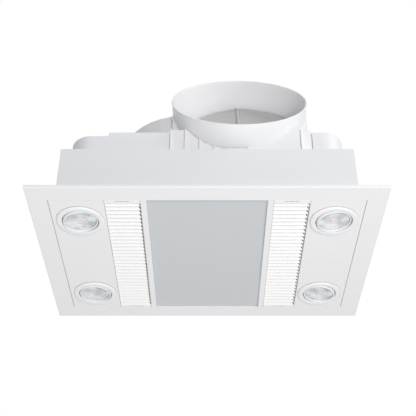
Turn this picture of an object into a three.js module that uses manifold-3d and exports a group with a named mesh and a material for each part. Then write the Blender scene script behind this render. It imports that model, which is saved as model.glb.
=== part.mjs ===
// Bathroom ceiling heater with exhaust fan, radiant heat tubes behind glass and four tilting lamps.
// Millimetres, +Z up. The origin is the centre of the ceiling opening, where the fascia meets the ceiling.
// +X is the long side of the fascia, -Y is the side that the duct collar points to.

import * as THREE from 'three';
import { mergeVertices } from 'three/addons/utils/BufferGeometryUtils.js';
import Module from 'manifold-3d';

const wasm = await Module();
wasm.setup();

// Clearances shared by all pieces
const restGap = 0.3;
const runGap = 0.4;
const overrun = 6;

// Fascia and its openings
const fasciaWidth = 480;
const fasciaDepth = 345;
const fasciaThickness = 4;
const fasciaChamfer = 0.8;
const sideBorder = 27.3;
const endBorder = 28.5;
const panelOpening = 75;
const barWidth = 7.9;
const louvreOpening = 49;
const skinThickness = 2;
const panelLip = 4.5;
const panelSeam = 0.9;
const louvreSeam = 0.3;
const glassLedge = 3.3;
const glassLip = 3.5;
const glassThickness = 4;
const towerWidth = 3.6;
const towerDepth = 6;
const towerInset = 1;
const barbHeight = 4;
const barbDepth = 1.6;

// Louvre grilles
const grilleEnd = 5;
const slatPitch = 8.88;
const slatRun = 7.6;
const slatDrop = 5;
const slatThickness = 1.3;
const railWidth = 1.2;
const railRecess = 1.2;
const railHeight = 8;
const endBarHeight = 5;
const clipSlotLength = 20;
const clipSlotWidth = 1.6;
const clipSlotInset = 2.2;
const hookWidth = 16;
const hookThickness = 1.4;
const hookHeight = 5.2;
const hookNose = 2;
const hookNoseHeight = 1.4;

// Tilting lamps
const lampOffset = 1.7;
const lampEndInset = 46;
const panelClearance = 0.5;
const trimFlange = 5.7;
const trimRise = 3;
const trimBevel = 2;
const trimDish = 1.6;
const collarWall = 1.4;
const collarHeight = 12;
const retainerWidth = 2.4;
const retainerThickness = 1.5;
const gimbalRadius = 25;
const gimbalWidth = 3.3;
const gimbalRise = 3.6;
const gimbalDrop = 4.6;
const gimbalLip = 1;
const gimbalPivotDepth = 1;
const pivotRadius = 1.4;
const pivotClearance = 0.3;
const lensThickness = 2.2;
const lensInset = 2;
const lampBodyShoulder = 3;
const lampNeckRadius = 13;
const lampBodyHeight = 34;
const finCount = 2;
const finThickness = 3;
const finDepth = 3;
const tilts = { front_left: -5, front_right: -5, rear_left: 0, rear_right: 5 };

// Heater
const troughMargin = 4.8;
const troughHeight = 36;
const troughRim = 9;
const troughInset = 24;
const sheetThickness = 1;
const tubeRadius = 5;
const tubeHeight = 26;
const tubePinch = 12;
const tubePinchRadius = 3;
const tubeTip = 2.4;
const holderWidth = 22;
const holderDepth = 12;
const holderHeight = 20;
const holderWall = 2.5;
const cutoutRadius = 8;
const cutoutHeight = 9;
const cutoutFlange = 12;
const retainerStripDepth = 7;
const retainerStripThickness = 1.5;
const retainerStripFold = 5;

// Housing box
const housingTop = 80.3;
const housingWall = 1.2;
const joistHoleRadius = 3;
const joistHoleY = 60;
const joistHoleHeight = 55;
const springWidth = 16;
const springThickness = 0.8;
const springHeight = 20;
const springBase = 6;
const springClearance = 1.1;

// Upper casing
const casingSideLedge = 8.4;
const casingEndLedge = 12;
const casingLowHeight = 33.7;
const casingStep = 6.6;
const casingCorner = 30;
const casingWall = 2;
const stepLeftInset = 53.3;
const stepLeftRun = 1.8;

// Fan
const fanX = -32;
const drumRearRoom = 51;
const drumRadius = 99;
const drumShelf = 2.5;
const drumWall = 2;
const inletMargin = 18;
const inletWall = 2;
const inletFlange = 18;
const inletRise = 9;
const scrollRoom = 29;
const bladeDepth = 14;
const bladeCount = 24;
const bladeThickness = 1.1;
const bladeLean = 5;
const impellerFloor = 12.4;
const impellerHeadroom = 34;
const impellerDisc = 2;
const impellerRing = 2.4;
const hubRadius = 9;
const hubHeight = 14;
const shaftRadius = 3;
const shaftDrop = 10;
const motorRadius = 26;
const motorRise = 21;
const motorFlangeWidth = 10;
const motorFlangeThickness = 2;
const motorBoss = 12;
const motorBossDrop = 22;
const motorCoreRadius = 19;
const motorHoleGap = 2;
const motorClearance = 7.3;
const ventCount = 8;
const ventWidth = 3;
const ventHeight = 10;

// Outlet hood, duct collar and shutter
const collarX = 47.5;
const sleeveFloor = 1.8;
const collarRise = 28.3;
const collarRadius = 100;
const collarTaper = 1;
const collarThickness = 2.5;
const collarLength = 34.5;
const collarBead = 2;
const collarBeadRise = 0.8;
const sleeveInset = 8;
const sleeveThickness = 2.5;
const hoodLip = 16.6;
const hoodPlateHeight = 46;
const hoodBackRoom = 6;
const hoodWall = 2.5;
const hoodRibPitch = 20.5;
const hoodRibThickness = 2;
const hoodRibRise = 3;
const pinDepth = 44;
const pinRadius = 2;
const pinClearance = 0.3;
const leafClearance = 2.5;
const leafThickness = 1.2;
const leafSweeps = { left: 8, right: 2 };
const knuckleRadius = 4;
const knuckleCount = 4;
const stopWidth = 14;
const stopDepth = 6;
const stopHeight = 2.6;
const wheelClearance = 0.3;

// Wiring
const terminalEdge = 6.6;
const terminalRearInset = 44;
const terminalWidth = 34;
const terminalDepth = 56;
const terminalHeight = 24;
const terminalWall = 2;
const lidThickness = 2;
const blockWidth = 18;
const blockRoom = 4;
const blockHeight = 12;
const blockWays = 5;
const blockNotch = 2;
const glandRadius = 9;
const glandBore = 4.5;
const glandThreadRadius = 7;
const glandLength = 14;
const glandNut = 4;
const glandSides = 6;
const capacitorInset = 14.3;
const capacitorRearInset = 25;
const capacitorRadius = 12;
const capacitorLength = 52;
const capacitorFoot = 3;
const capacitorFootWidth = 16;
const capacitorEdge = 2;

// Facets round a full turn
const ringFacets = 18;
const bodyFacets = 10;
const throatFacets = 24;
const tubeFacets = 14;
const collarFacets = 36;
const smallFacets = 10;
const pivotFacets = 8;
const drumFacets = 36;

// Derived places
const fasciaFace = -fasciaThickness;
const skinBack = fasciaFace + skinThickness;
const openingHalfDepth = fasciaDepth / 2 - endBorder;
const panelOuter = fasciaWidth / 2 - sideBorder;
const louvreOuter = panelOuter - panelOpening;
const louvreInner = louvreOuter - louvreOpening;
const glassHalf = louvreInner - barWidth;
const slatCount = Math.floor(2 * (openingHalfDepth - grilleEnd) / slatPitch);
const lampX = (louvreOuter + panelOuter) / 2 - lampOffset;
const lampY = openingHalfDepth - lampEndInset;
const lampHole = gimbalRadius + runGap + collarWall + panelClearance;
const trimRadius = lampHole + trimFlange;
const gimbalBore = gimbalRadius - gimbalWidth;
const lensRadius = gimbalBore - runGap;
const pivotHeight = fasciaFace + gimbalPivotDepth;
const troughHalfWidth = (glassHalf - troughMargin) / 2;
const troughLength = 2 * (openingHalfDepth - troughInset);
const tubeLength = troughLength + 2 * (holderDepth - holderWall);
const glassBottom = fasciaFace + glassLedge + restGap;
const glassTop = glassBottom + glassThickness;
const towerMiddle = (glassHalf + glassLip + louvreInner) / 2;
const springFoot = glassTop + restGap + retainerStripFold + springClearance;
const towerHeight = springFoot + springHeight - springBase;
const housingWidth = 2 * (lampX + lampHole + housingWall);
const housingDepth = 2 * (openingHalfDepth + glassLip + restGap + housingWall);
const housingInnerDepth = housingDepth / 2 - housingWall;
const casingWidth = housingWidth - 2 * casingSideLedge;
const casingDepth = housingDepth - 2 * casingEndLedge;
const casingBase = housingTop + restGap;
const casingLowTop = casingBase + casingLowHeight;
const casingHighTop = casingLowTop + casingStep;
const stepLeft = stepLeftInset - casingWidth / 2;
const drumBase = casingBase;
const fanY = casingDepth / 2 - drumRearRoom - drumRadius;
const impellerRadius = drumRadius - scrollRoom;
const inletRadius = impellerRadius - inletMargin;
const rise = THREE.MathUtils.degToRad(collarRise);
const collarRootRadius = collarRadius - collarTaper;
const sleeveRadius = collarRadius - sleeveInset;
const leafRadius = sleeveRadius - leafClearance;
const hoodLeft = collarX - collarRadius;
const hoodRight = collarX + collarRadius;
const hoodRibCount = Math.ceil(2 * collarRadius / hoodRibPitch);
// The sleeve reaches behind the leaves' stops, and its end just clears the hood's floor
const leafLean = Math.sin(THREE.MathUtils.degToRad(Math.max(leafSweeps.left, leafSweeps.right)));
const sleeveEnd = pinDepth + leafRadius * leafLean + leafThickness / 2 + restGap + stopHeight;
const sleeveOuter = sleeveRadius + sleeveThickness;
const collarZ = drumBase + sleeveFloor + sleeveOuter * Math.cos(rise) + sleeveEnd * Math.sin(rise);
const hoodEnd = sleeveEnd + hoodBackRoom;
const faceDepth = collarLength + restGap;
const drumTop = collarZ - faceDepth * Math.sin(rise) - drumShelf;
const impellerTop = drumTop - impellerHeadroom;
const motorTop = drumTop + restGap + motorRise;
// The duct stands clear of the fan wheel's front edge and of the motor
const wheelY = fanY - impellerRadius + (collarZ - impellerTop) * Math.tan(rise);
const clearOfWheel = wheelY - (sleeveEnd + wheelClearance) / Math.cos(rise);
const hoodEndY = hoodEnd * Math.cos(rise) + (motorTop - collarZ + hoodEnd * Math.sin(rise)) * Math.tan(rise);
const clearOfMotor = fanY - motorRadius - motorClearance - hoodEndY;
const collarY = Math.min(clearOfWheel, clearOfMotor);
const hoodRise = drumTop + drumShelf - drumBase - hoodLip;
const hoodFront = collarY + faceDepth * Math.cos(rise) - hoodRise * Math.tan(rise);
const impellerBottom = drumBase + impellerFloor;
const motorFlange = motorRadius + motorFlangeWidth;
const terminalX = casingWidth / 2 - terminalEdge - terminalWidth / 2;
const terminalY = casingDepth / 2 - terminalRearInset;
const capacitorX = stepLeft + capacitorInset;
const capacitorY = casingDepth / 2 - capacitorRearInset;

// Solids and meshes

function solidOf(geometry) {
  geometry.deleteAttribute('normal');
  geometry.deleteAttribute('uv');
  const welded = mergeVertices(geometry);
  const corners = welded.index.array;
  const kept = [];
  for (let i = 0; i < corners.length; i += 3) {
    const a = corners[i];
    const b = corners[i + 1];
    const c = corners[i + 2];
    if (a !== b && b !== c && c !== a) kept.push(a, b, c);
  }
  return new wasm.Manifold(new wasm.Mesh({
    numProp: 3,
    vertProperties: Float32Array.from(welded.attributes.position.array),
    triVerts: Uint32Array.from(kept),
  }));
}

function geometryOf(solid) {
  const mesh = solid.getMesh();
  const geometry = new THREE.BufferGeometry();
  geometry.setAttribute('position', new THREE.BufferAttribute(Float32Array.from(mesh.vertProperties), 3));
  geometry.setIndex(new THREE.BufferAttribute(Uint32Array.from(mesh.triVerts), 1));
  const faceted = geometry.toNonIndexed();
  faceted.computeVertexNormals();
  return faceted;
}

function union(solids) {
  return solids.reduce((whole, next) => whole.add(next));
}

function cut(body, tools) {
  return tools.reduce((whole, tool) => whole.subtract(tool), body);
}

function moved(solid, x, y, z) {
  return solid.translate([x, y, z]);
}

// A box between two corners
function block(x0, x1, y0, y1, z0, z1) {
  const geometry = new THREE.BoxGeometry(x1 - x0, y1 - y0, z1 - z0);
  geometry.translate((x0 + x1) / 2, (y0 + y1) / 2, (z0 + z1) / 2);
  return solidOf(geometry);
}

// A box centred on x = 0 and y = 0
function centredBlock(width, depth, z0, z1) {
  return block(-width / 2, width / 2, -depth / 2, depth / 2, z0, z1);
}

function shapeOf(points) {
  return new THREE.Shape(points.map(([a, b]) => new THREE.Vector2(a, b)));
}

function extrusion(shape, depth, curveSegments = smallFacets / 2) {
  return new THREE.ExtrudeGeometry(shape, { depth, bevelEnabled: false, steps: 1, curveSegments });
}

// An outline in X and Y raised from z0 to z1
function prismZ(shape, z0, z1) {
  const geometry = extrusion(shape, z1 - z0);
  geometry.translate(0, 0, z0);
  return solidOf(geometry);
}

// An outline in Y and Z carried from x0 to x1
function prismX(points, x0, x1) {
  const geometry = extrusion(shapeOf(points), x1 - x0);
  const turn = new THREE.Matrix4().makeBasis(
    new THREE.Vector3(0, 1, 0), new THREE.Vector3(0, 0, 1), new THREE.Vector3(1, 0, 0));
  geometry.applyMatrix4(turn);
  geometry.translate(x0, 0, 0);
  return solidOf(geometry);
}

// An outline in X and Z carried from y0 to y1
function prismY(points, y0, y1) {
  const geometry = extrusion(shapeOf(points), y1 - y0);
  geometry.rotateX(Math.PI / 2);
  geometry.translate(0, y1, 0);
  return solidOf(geometry);
}

// A closed profile of [radius, height] points, anticlockwise, turned about Z
function turned(profile, facets) {
  const points = profile.concat([profile[0]]).map(([r, z]) => new THREE.Vector2(r, z));
  const geometry = new THREE.LatheGeometry(points, facets);
  geometry.rotateX(Math.PI / 2);
  return solidOf(geometry);
}

// A round bar along Z from z0 to z1
function rod(radius, z0, z1, facets) {
  const geometry = new THREE.CylinderGeometry(radius, radius, z1 - z0, facets);
  geometry.rotateX(Math.PI / 2);
  geometry.translate(0, 0, (z0 + z1) / 2);
  return solidOf(geometry);
}

const group = new THREE.Group();
group.name = 'bathroom_ceiling_heater';

const finishes = {
  white: { color: 0xe9eaec, roughness: 0.45, metalness: 0 },
  casing: { color: 0xe2e4e8, roughness: 0.5, metalness: 0 },
  steel: { color: 0xb9bcc0, roughness: 0.35, metalness: 0.9 },
  coated: { color: 0xe4e6ea, roughness: 0.5, metalness: 0.1 },
  mirror: { color: 0xd8dade, roughness: 0.15, metalness: 1 },
  glass: { color: 0xc6cbcf, roughness: 0.4, metalness: 0 },
  lens: { color: 0xd4d8da, roughness: 0.1, metalness: 0 },
  quartz: { color: 0xe6e2da, roughness: 0.1, metalness: 0 },
  ceramic: { color: 0xe8e2d2, roughness: 0.7, metalness: 0 },
  alloy: { color: 0xa9adb2, roughness: 0.4, metalness: 0.9 },
  dark: { color: 0x3c3f43, roughness: 0.6, metalness: 0 },
  fan: { color: 0x55585c, roughness: 0.55, metalness: 0 },
};

function addNode(name, solid, finish) {
  const mesh = new THREE.Mesh(geometryOf(solid), new THREE.MeshStandardMaterial(finishes[finish]));
  mesh.name = name;
  group.add(mesh);
  return mesh;
}

// Fascia frame: a flat plate with three openings, ledges for the inserts and four clip towers

function chamferedProfile(width, z0, z1, chamfer) {
  return [
    [-width / 2 + chamfer, z0],
    [width / 2 - chamfer, z0],
    [width / 2, z0 + chamfer],
    [width / 2, z1],
    [-width / 2, z1],
    [-width / 2, z0 + chamfer],
  ];
}

function chamferedPlate(width, depth, z0, z1, chamfer) {
  const long = prismY(chamferedProfile(width, z0, z1, chamfer), -depth, depth);
  const wide = prismX(chamferedProfile(depth, z0, z1, chamfer), -width, width);
  return long.intersect(wide);
}

function towers() {
  const y0 = openingHalfDepth - towerInset - towerDepth;
  const y1 = openingHalfDepth - towerInset;
  const barbTop = towerHeight - barbHeight;
  const outline = [
    [y0, skinBack],
    [y1, skinBack],
    [y1, barbTop],
    [y1 + barbDepth, barbTop],
    [y1, towerHeight],
    [y0, towerHeight],
  ];
  const list = [];
  for (const side of [-1, 1]) {
    const x0 = side * towerMiddle - towerWidth / 2;
    const x1 = side * towerMiddle + towerWidth / 2;
    const tower = prismX(outline, x0, x1);
    list.push(tower, tower.mirror([0, 1, 0]));
  }
  return list;
}

function fasciaFrame() {
  const plate = chamferedPlate(fasciaWidth, fasciaDepth, fasciaFace, 0, fasciaChamfer);
  const through = [fasciaFace - overrun, overrun];
  const openings = [
    centredBlock(2 * glassHalf, 2 * openingHalfDepth, ...through),
    centredBlock(2 * (glassHalf + glassLip), 2 * (openingHalfDepth + glassLip),
      fasciaFace + glassLedge, overrun),
  ];
  for (const side of [-1, 1]) {
    const inner = side * louvreInner;
    const outer = side * panelOuter;
    const lipped = side * (panelOuter + panelLip + restGap);
    const lippedDepth = openingHalfDepth + panelLip + restGap;
    openings.push(block(Math.min(inner, outer), Math.max(inner, outer),
      -openingHalfDepth, openingHalfDepth, ...through));
    openings.push(block(Math.min(inner, lipped), Math.max(inner, lipped),
      -lippedDepth, lippedDepth, skinBack, overrun));
  }
  return union([cut(plate, openings), ...towers()]);
}

// Lamp panel: a flush insert whose lip hangs on the fascia's skin

function lampPanel(side) {
  const x0 = louvreOuter + louvreSeam / 2;
  const x1 = panelOuter - panelSeam;
  const y1 = openingHalfDepth - louvreSeam;
  const lipX = panelOuter + panelLip;
  const lipY = openingHalfDepth + panelLip;
  const face = block(x0, x1, -y1, y1, fasciaFace, skinBack + restGap);
  const lip = block(x0, lipX, -lipY, lipY, skinBack + restGap, -restGap);
  const holes = [-lampY, lampY].map((y) =>
    moved(rod(lampHole, fasciaFace - overrun, overrun, ringFacets), lampX, y, 0));
  const panel = cut(face.add(lip), holes);
  return side > 0 ? panel : panel.mirror([1, 0, 0]);
}

// Louvre grille: slanting slats between two recessed rails, with a clip slot and a hook at each end

function slat(y, x0, x1) {
  const length = Math.hypot(slatRun, slatDrop);
  const acrossY = slatThickness * slatDrop / length;
  const acrossZ = slatThickness * slatRun / length;
  const high = fasciaFace + slatDrop;
  return prismX([
    [y, high],
    [y + slatRun, fasciaFace],
    [y + slatRun + acrossY, fasciaFace + acrossZ],
    [y + acrossY, high + acrossZ],
  ], x0, x1);
}

function louvreGrille(side) {
  const x0 = louvreInner + louvreSeam;
  const x1 = louvreOuter - louvreSeam / 2;
  const middle = (x0 + x1) / 2;
  const end = openingHalfDepth - louvreSeam;
  const slatsHalf = slatCount * slatPitch / 2;
  const railBottom = fasciaFace + railRecess;
  const rails = [
    block(x0, x0 + railWidth, -end, end, railBottom, railBottom + railHeight),
    block(x1 - railWidth, x1, -end, end, railBottom, railBottom + railHeight),
  ];
  const pieces = [...rails];
  for (let i = 0; i < slatCount; i += 1) {
    pieces.push(slat(-slatsHalf + i * slatPitch, x0 + railWidth / 2, x1 - railWidth / 2));
  }
  const barInner = slatsHalf - slatPitch + slatRun;
  const slots = [];
  for (const way of [-1, 1]) {
    const y0 = way > 0 ? barInner : -end;
    const y1 = way > 0 ? end : -slatsHalf + slatThickness;
    pieces.push(block(x0, x1, y0, y1, fasciaFace, fasciaFace + endBarHeight));
    const slotMiddle = way * (end - clipSlotInset - clipSlotWidth / 2);
    slots.push(block(middle - clipSlotLength / 2, middle + clipSlotLength / 2,
      slotMiddle - clipSlotWidth / 2, slotMiddle + clipSlotWidth / 2,
      fasciaFace - overrun, overrun));
    const hook = prismX([
      [end - hookThickness, fasciaFace + hookThickness],
      [end, fasciaFace + hookThickness],
      [end, skinBack + restGap],
      [end + hookNose, skinBack + restGap],
      [end, skinBack + restGap + hookNoseHeight],
      [end, fasciaFace + hookHeight],
      [end - hookThickness, fasciaFace + hookHeight],
    ], middle - hookWidth / 2, middle + hookWidth / 2);
    pieces.push(way > 0 ? hook : hook.mirror([0, 1, 0]));
  }
  const grille = cut(union(pieces), slots);
  return side > 0 ? grille : grille.mirror([1, 0, 0]);
}

// Front glass and the two strips that hold it down

function frontGlass() {
  const width = 2 * (glassHalf + glassLip - restGap);
  const depth = 2 * (openingHalfDepth + glassLip - restGap);
  return centredBlock(width, depth, glassBottom, glassTop);
}

function glassStrip(way) {
  const x1 = towerMiddle - towerWidth / 2 - restGap;
  const y1 = openingHalfDepth + glassLip - 2 * restGap;
  const y0 = y1 - retainerStripDepth;
  const z0 = glassTop + restGap;
  const z1 = z0 + retainerStripThickness;
  const strip = prismX([
    [y0, z0],
    [y1, z0],
    [y1, z0 + retainerStripFold],
    [y1 - retainerStripThickness, z0 + retainerStripFold],
    [y1 - retainerStripThickness, z1],
    [y0, z1],
  ], -x1, x1);
  return way > 0 ? strip : strip.mirror([0, 1, 0]);
}

// Lamps: a trim ring that turns in the panel, its retainer, a tilting gimbal, the lamp body and the lens.
// The gimbal, the body and the lens are drawn round the gimbal's pivot axis.

function trimRing() {
  const bore = gimbalRadius + runGap;
  const outer = bore + collarWall;
  const seat = fasciaFace - restGap;
  const face = seat - trimRise;
  const ring = turned([
    [bore, face + trimDish],
    [trimRadius - trimBevel, face],
    [trimRadius, face + trimBevel],
    [trimRadius, seat],
    [outer, seat],
    [outer, seat + collarHeight],
    [bore, seat + collarHeight],
  ], ringFacets);
  const pivotHole = new THREE.CylinderGeometry(
    pivotRadius + pivotClearance, pivotRadius + pivotClearance, 2 * (outer + restGap), pivotFacets);
  pivotHole.translate(0, 0, pivotHeight);
  return cut(ring, [solidOf(pivotHole)]);
}

function retainerRing() {
  const bore = gimbalRadius + runGap + collarWall + restGap;
  return turned([
    [bore, 0],
    [bore + retainerWidth, 0],
    [bore + retainerWidth, retainerThickness],
    [bore, retainerThickness],
  ], ringFacets);
}

function gimbalRing() {
  const outer = (height) => Math.sqrt(gimbalRadius * gimbalRadius - height * height);
  const profile = [
    [gimbalBore, -gimbalDrop + gimbalLip],
    [gimbalBore + gimbalLip, -gimbalDrop],
    [outer(gimbalDrop), -gimbalDrop],
    [gimbalRadius, 0],
    [outer(gimbalRise), gimbalRise],
    [gimbalBore, gimbalRise],
  ];
  const ring = turned(profile, ringFacets);
  const reach = gimbalRadius + runGap + collarWall - restGap;
  const root = gimbalBore + gimbalLip;
  const pivot = new THREE.CylinderGeometry(pivotRadius, pivotRadius, reach - root, pivotFacets);
  pivot.translate(0, (reach + root) / 2, 0);
  const stub = solidOf(pivot);
  return union([ring, stub, stub.mirror([0, 1, 0])]);
}

function lampBody() {
  const base = -gimbalDrop + lensInset + lensThickness + restGap;
  const shoulder = base + lampBodyShoulder;
  const top = base + lampBodyHeight;
  const body = turned([
    [0, base],
    [lensRadius, base],
    [lensRadius, shoulder],
    [lampNeckRadius, top],
    [0, top],
  ], bodyFacets);
  const grooves = [];
  for (let i = 1; i <= finCount; i += 1) {
    const z0 = shoulder + i * (top - shoulder) / (finCount + 1);
    const radius = lensRadius + (lampNeckRadius - lensRadius) * i / (finCount + 1);
    grooves.push(turned([
      [radius - finDepth, z0 - finThickness / 2],
      [radius + overrun, z0 - finThickness / 2],
      [radius + overrun, z0 + finThickness / 2],
      [radius - finDepth, z0 + finThickness / 2],
    ], bodyFacets));
  }
  return cut(body, grooves);
}

function lampLens() {
  const z0 = -gimbalDrop + lensInset;
  const crown = lensThickness / 2;
  return turned([
    [0, z0],
    [lensRadius, z0 + crown],
    [lensRadius, z0 + lensThickness],
    [0, z0 + lensThickness],
  ], ringFacets);
}

// Heater: reflector with two troughs and side skirts, quartz tubes, ceramic holders, thermal cut-out

// One trough: half an ellipse standing on its rim, let down below the rim where it serves as a cutter
function trough(side, halfWidth, height, letDown, y0, y1) {
  const middle = side * troughHalfWidth;
  const points = [[middle - halfWidth, troughRim - letDown], [middle + halfWidth, troughRim - letDown]];
  for (let i = letDown > 0 ? 0 : 1; i <= smallFacets; i += 1) {
    const angle = Math.PI * i / smallFacets;
    if (letDown === 0 && i === smallFacets) break;
    points.push([middle + halfWidth * Math.cos(angle), troughRim + height * Math.sin(angle)]);
  }
  return prismY(points, y0, y1);
}

function reflector() {
  const half = troughLength / 2;
  const skirt = glassHalf + glassLip + restGap;
  const flangeTop = troughRim + sheetThickness;
  const outerHalf = troughHalfWidth + sheetThickness / 2;
  const innerHalf = troughHalfWidth - sheetThickness / 2;
  const pieces = [];
  const cutters = [];
  for (const side of [-1, 1]) {
    pieces.push(trough(side, outerHalf, troughHeight, 0, -half, half));
    cutters.push(trough(side, innerHalf, troughHeight - sheetThickness, overrun,
      -half + sheetThickness, half - sheetThickness));
    const sheet = prismY([
      [troughHalfWidth + innerHalf, troughRim],
      [skirt, troughRim],
      [skirt, restGap],
      [skirt + sheetThickness, restGap],
      [skirt + sheetThickness, flangeTop],
      [troughHalfWidth + innerHalf, flangeTop],
    ], -half, half);
    pieces.push(side > 0 ? sheet : sheet.mirror([1, 0, 0]));
    const radius = tubeRadius + runGap;
    const hole = new THREE.CylinderGeometry(radius, radius, tubeLength, smallFacets);
    hole.translate(side * troughHalfWidth, 0, tubeHeight);
    cutters.push(solidOf(hole));
  }
  return cut(union(pieces), cutters);
}

function heatTube(side) {
  const half = tubeLength / 2;
  const tube = turned([
    [0, -half],
    [tubeTip, -half],
    [tubePinchRadius, -half + tubePinch / 2],
    [tubeRadius, -half + tubePinch],
    [tubeRadius, half - tubePinch],
    [tubePinchRadius, half - tubePinch / 2],
    [tubeTip, half],
    [0, half],
  ], tubeFacets);
  return moved(tube.rotate([90, 0, 0]), side * troughHalfWidth, 0, tubeHeight);
}

function tubeHolder(side, way) {
  const y0 = troughLength / 2 + restGap;
  const y1 = y0 + holderDepth;
  const x0 = side * troughHalfWidth - holderWidth / 2;
  const x1 = side * troughHalfWidth + holderWidth / 2;
  const z0 = tubeHeight - holderHeight / 2;
  const z1 = tubeHeight + holderHeight / 2;
  const body = block(x0, x1, y0, y1, z0, z1);
  const radius = tubeRadius + restGap;
  const bore = new THREE.CylinderGeometry(radius, radius, holderDepth, smallFacets);
  bore.translate(side * troughHalfWidth, y1 - holderWall - holderDepth / 2, tubeHeight);
  const notch = block(x0 + holderWidth / 3, x1 - holderWidth / 3, y1 - holderWall, y1 + overrun,
    z1 - holderWall, z1 + overrun);
  const holder = cut(body, [solidOf(bore), notch]);
  return way > 0 ? holder : holder.mirror([0, 1, 0]);
}

function thermalCutout() {
  const z0 = troughRim + troughHeight + restGap;
  const cutoutTabTop = cutoutHeight + cutoutFlange / 2;
  return moved(union([
    centredBlock(2 * cutoutFlange, cutoutRadius, 0, sheetThickness),
    rod(cutoutRadius, 0, cutoutHeight, smallFacets * 2),
    centredBlock(cutoutRadius, sheetThickness, cutoutHeight - sheetThickness, cutoutTabTop),
  ]), troughHalfWidth, 0, z0);
}

// Housing box: folded sheet, open below, with the fan inlet in its top and screw holes in its long sides

function housingBox() {
  const shell = centredBlock(housingWidth, housingDepth, restGap, housingTop);
  const hollow = centredBlock(housingWidth - 2 * housingWall, housingDepth - 2 * housingWall,
    -overrun, housingTop - housingWall);
  const inletRoom = rod(inletRadius + inletWall + runGap, 0, housingTop + overrun, throatFacets);
  const joistHoles = [-1, 1].map((way) => {
    const length = housingWidth + overrun;
    const hole = new THREE.CylinderGeometry(joistHoleRadius, joistHoleRadius, length, smallFacets);
    hole.rotateZ(Math.PI / 2);
    hole.translate(0, way * joistHoleY, joistHoleHeight);
    return solidOf(hole);
  });
  const retainerReach = gimbalRadius + runGap + collarWall + restGap + retainerWidth + runGap;
  // The retainers turn with the lamps, so the notch's flats stand outside their corners
  const notch = rod(retainerReach / Math.cos(Math.PI / ringFacets), -overrun,
    retainerThickness + 2 * restGap, ringFacets);
  const lampNotches = [[-1, -1], [1, -1], [-1, 1], [1, 1]].map(([side, way]) =>
    moved(notch, side * lampX, way * lampY, 0));
  return cut(shell, [hollow, moved(inletRoom, fanX, fanY, 0), ...joistHoles, ...lampNotches]);
}

// Spring clip on the housing's end wall: it grips the barb of a clip tower

function fasciaClip(side, way) {
  const wall = housingInnerDepth - restGap;
  const leaf = openingHalfDepth - towerInset + restGap + barbDepth;
  const gripTop = towerHeight - barbHeight - restGap;
  const clip = prismX([
    [wall - springThickness, springFoot],
    [wall, springFoot],
    [wall, towerHeight + springBase + springThickness],
    [leaf - springThickness, towerHeight + springBase + springThickness],
    [leaf - springThickness, towerHeight + springBase],
    [leaf, towerHeight + restGap],
    [leaf, gripTop],
    [leaf + springThickness, gripTop],
    [leaf + springThickness, towerHeight + springBase],
    [wall - springThickness, towerHeight + springBase],
  ], side * towerMiddle - springWidth / 2, side * towerMiddle + springWidth / 2);
  return way > 0 ? clip : clip.mirror([0, 1, 0]);
}

// Duct axis frame: local X stays X, local Y runs up in the collar's plane, local Z points out of the collar

const ductFrame = new THREE.Matrix4().makeBasis(
  new THREE.Vector3(1, 0, 0),
  new THREE.Vector3(0, Math.sin(rise), Math.cos(rise)),
  new THREE.Vector3(0, -Math.cos(rise), Math.sin(rise)),
).setPosition(collarX, collarY, collarZ);

function inDuctFrame(solid) {
  return solid.transform(ductFrame.elements);
}

// The point on the duct axis at a depth behind the mouth, as [y, z]
function axisPoint(depth) {
  return [collarY + depth * Math.cos(rise), collarZ - depth * Math.sin(rise)];
}

// Outlines shared by the upper casing, the fan's scroll and the outlet hood

function roundedRectangle(width, depth, corner) {
  const shape = new THREE.Shape();
  const x = width / 2;
  const y = depth / 2;
  shape.moveTo(-x + corner, -y);
  shape.lineTo(x - corner, -y);
  shape.absarc(x - corner, -y + corner, corner, -Math.PI / 2, 0, false);
  shape.lineTo(x, y - corner);
  shape.absarc(x - corner, y - corner, corner, 0, Math.PI / 2, false);
  shape.lineTo(-x + corner, y);
  shape.absarc(-x + corner, y - corner, corner, Math.PI / 2, Math.PI, false);
  shape.lineTo(-x, -y + corner);
  shape.absarc(-x + corner, -y + corner, corner, Math.PI, 3 * Math.PI / 2, false);
  return shape;
}

function casingBody(inset, z0) {
  const width = casingWidth - 2 * inset;
  const plan = prismZ(roundedRectangle(width, casingDepth - 2 * inset, casingCorner - inset),
    z0, casingHighTop + overrun);
  const low = casingLowTop - inset;
  const high = casingHighTop - inset;
  const steps = prismY([
    [-width, z0],
    [width, z0],
    [width, high],
    [stepLeft + stepLeftRun + inset, high],
    [stepLeft + inset, low],
    [-width, low],
  ], -casingDepth, casingDepth);
  return plan.intersect(steps);
}

// The scroll is a plain drum over its first part and then opens up to the hood's full width
function scrollShape(offset, front) {
  const growth = hoodRight - fanX - drumRadius;
  const start = Math.acos((hoodLeft - fanX) / drumRadius);
  const startDegrees = 360 - THREE.MathUtils.radToDeg(start);
  const points = [];
  const steps = Math.round(startDegrees * drumFacets / 360);
  for (let i = 0; i <= steps; i += 1) {
    const degrees = startDegrees * (1 - i / steps);
    const opened = Math.max(0, 1 - degrees / 180);
    const radius = drumRadius + growth * opened * opened + offset;
    const angle = THREE.MathUtils.degToRad(degrees);
    points.push([fanX + radius * Math.cos(angle), fanY + radius * Math.sin(angle)]);
  }
  points.push([hoodRight + offset, front]);
  points.push([points[0][0], front]);
  return shapeOf(points);
}

function scrollFront() {
  const across = hoodLeft - fanX;
  return fanY - Math.sqrt(drumRadius * drumRadius - across * across);
}

function scrollInside(front) {
  return prismZ(scrollShape(-drumWall, front), drumBase + drumWall, drumTop - drumWall);
}

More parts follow.
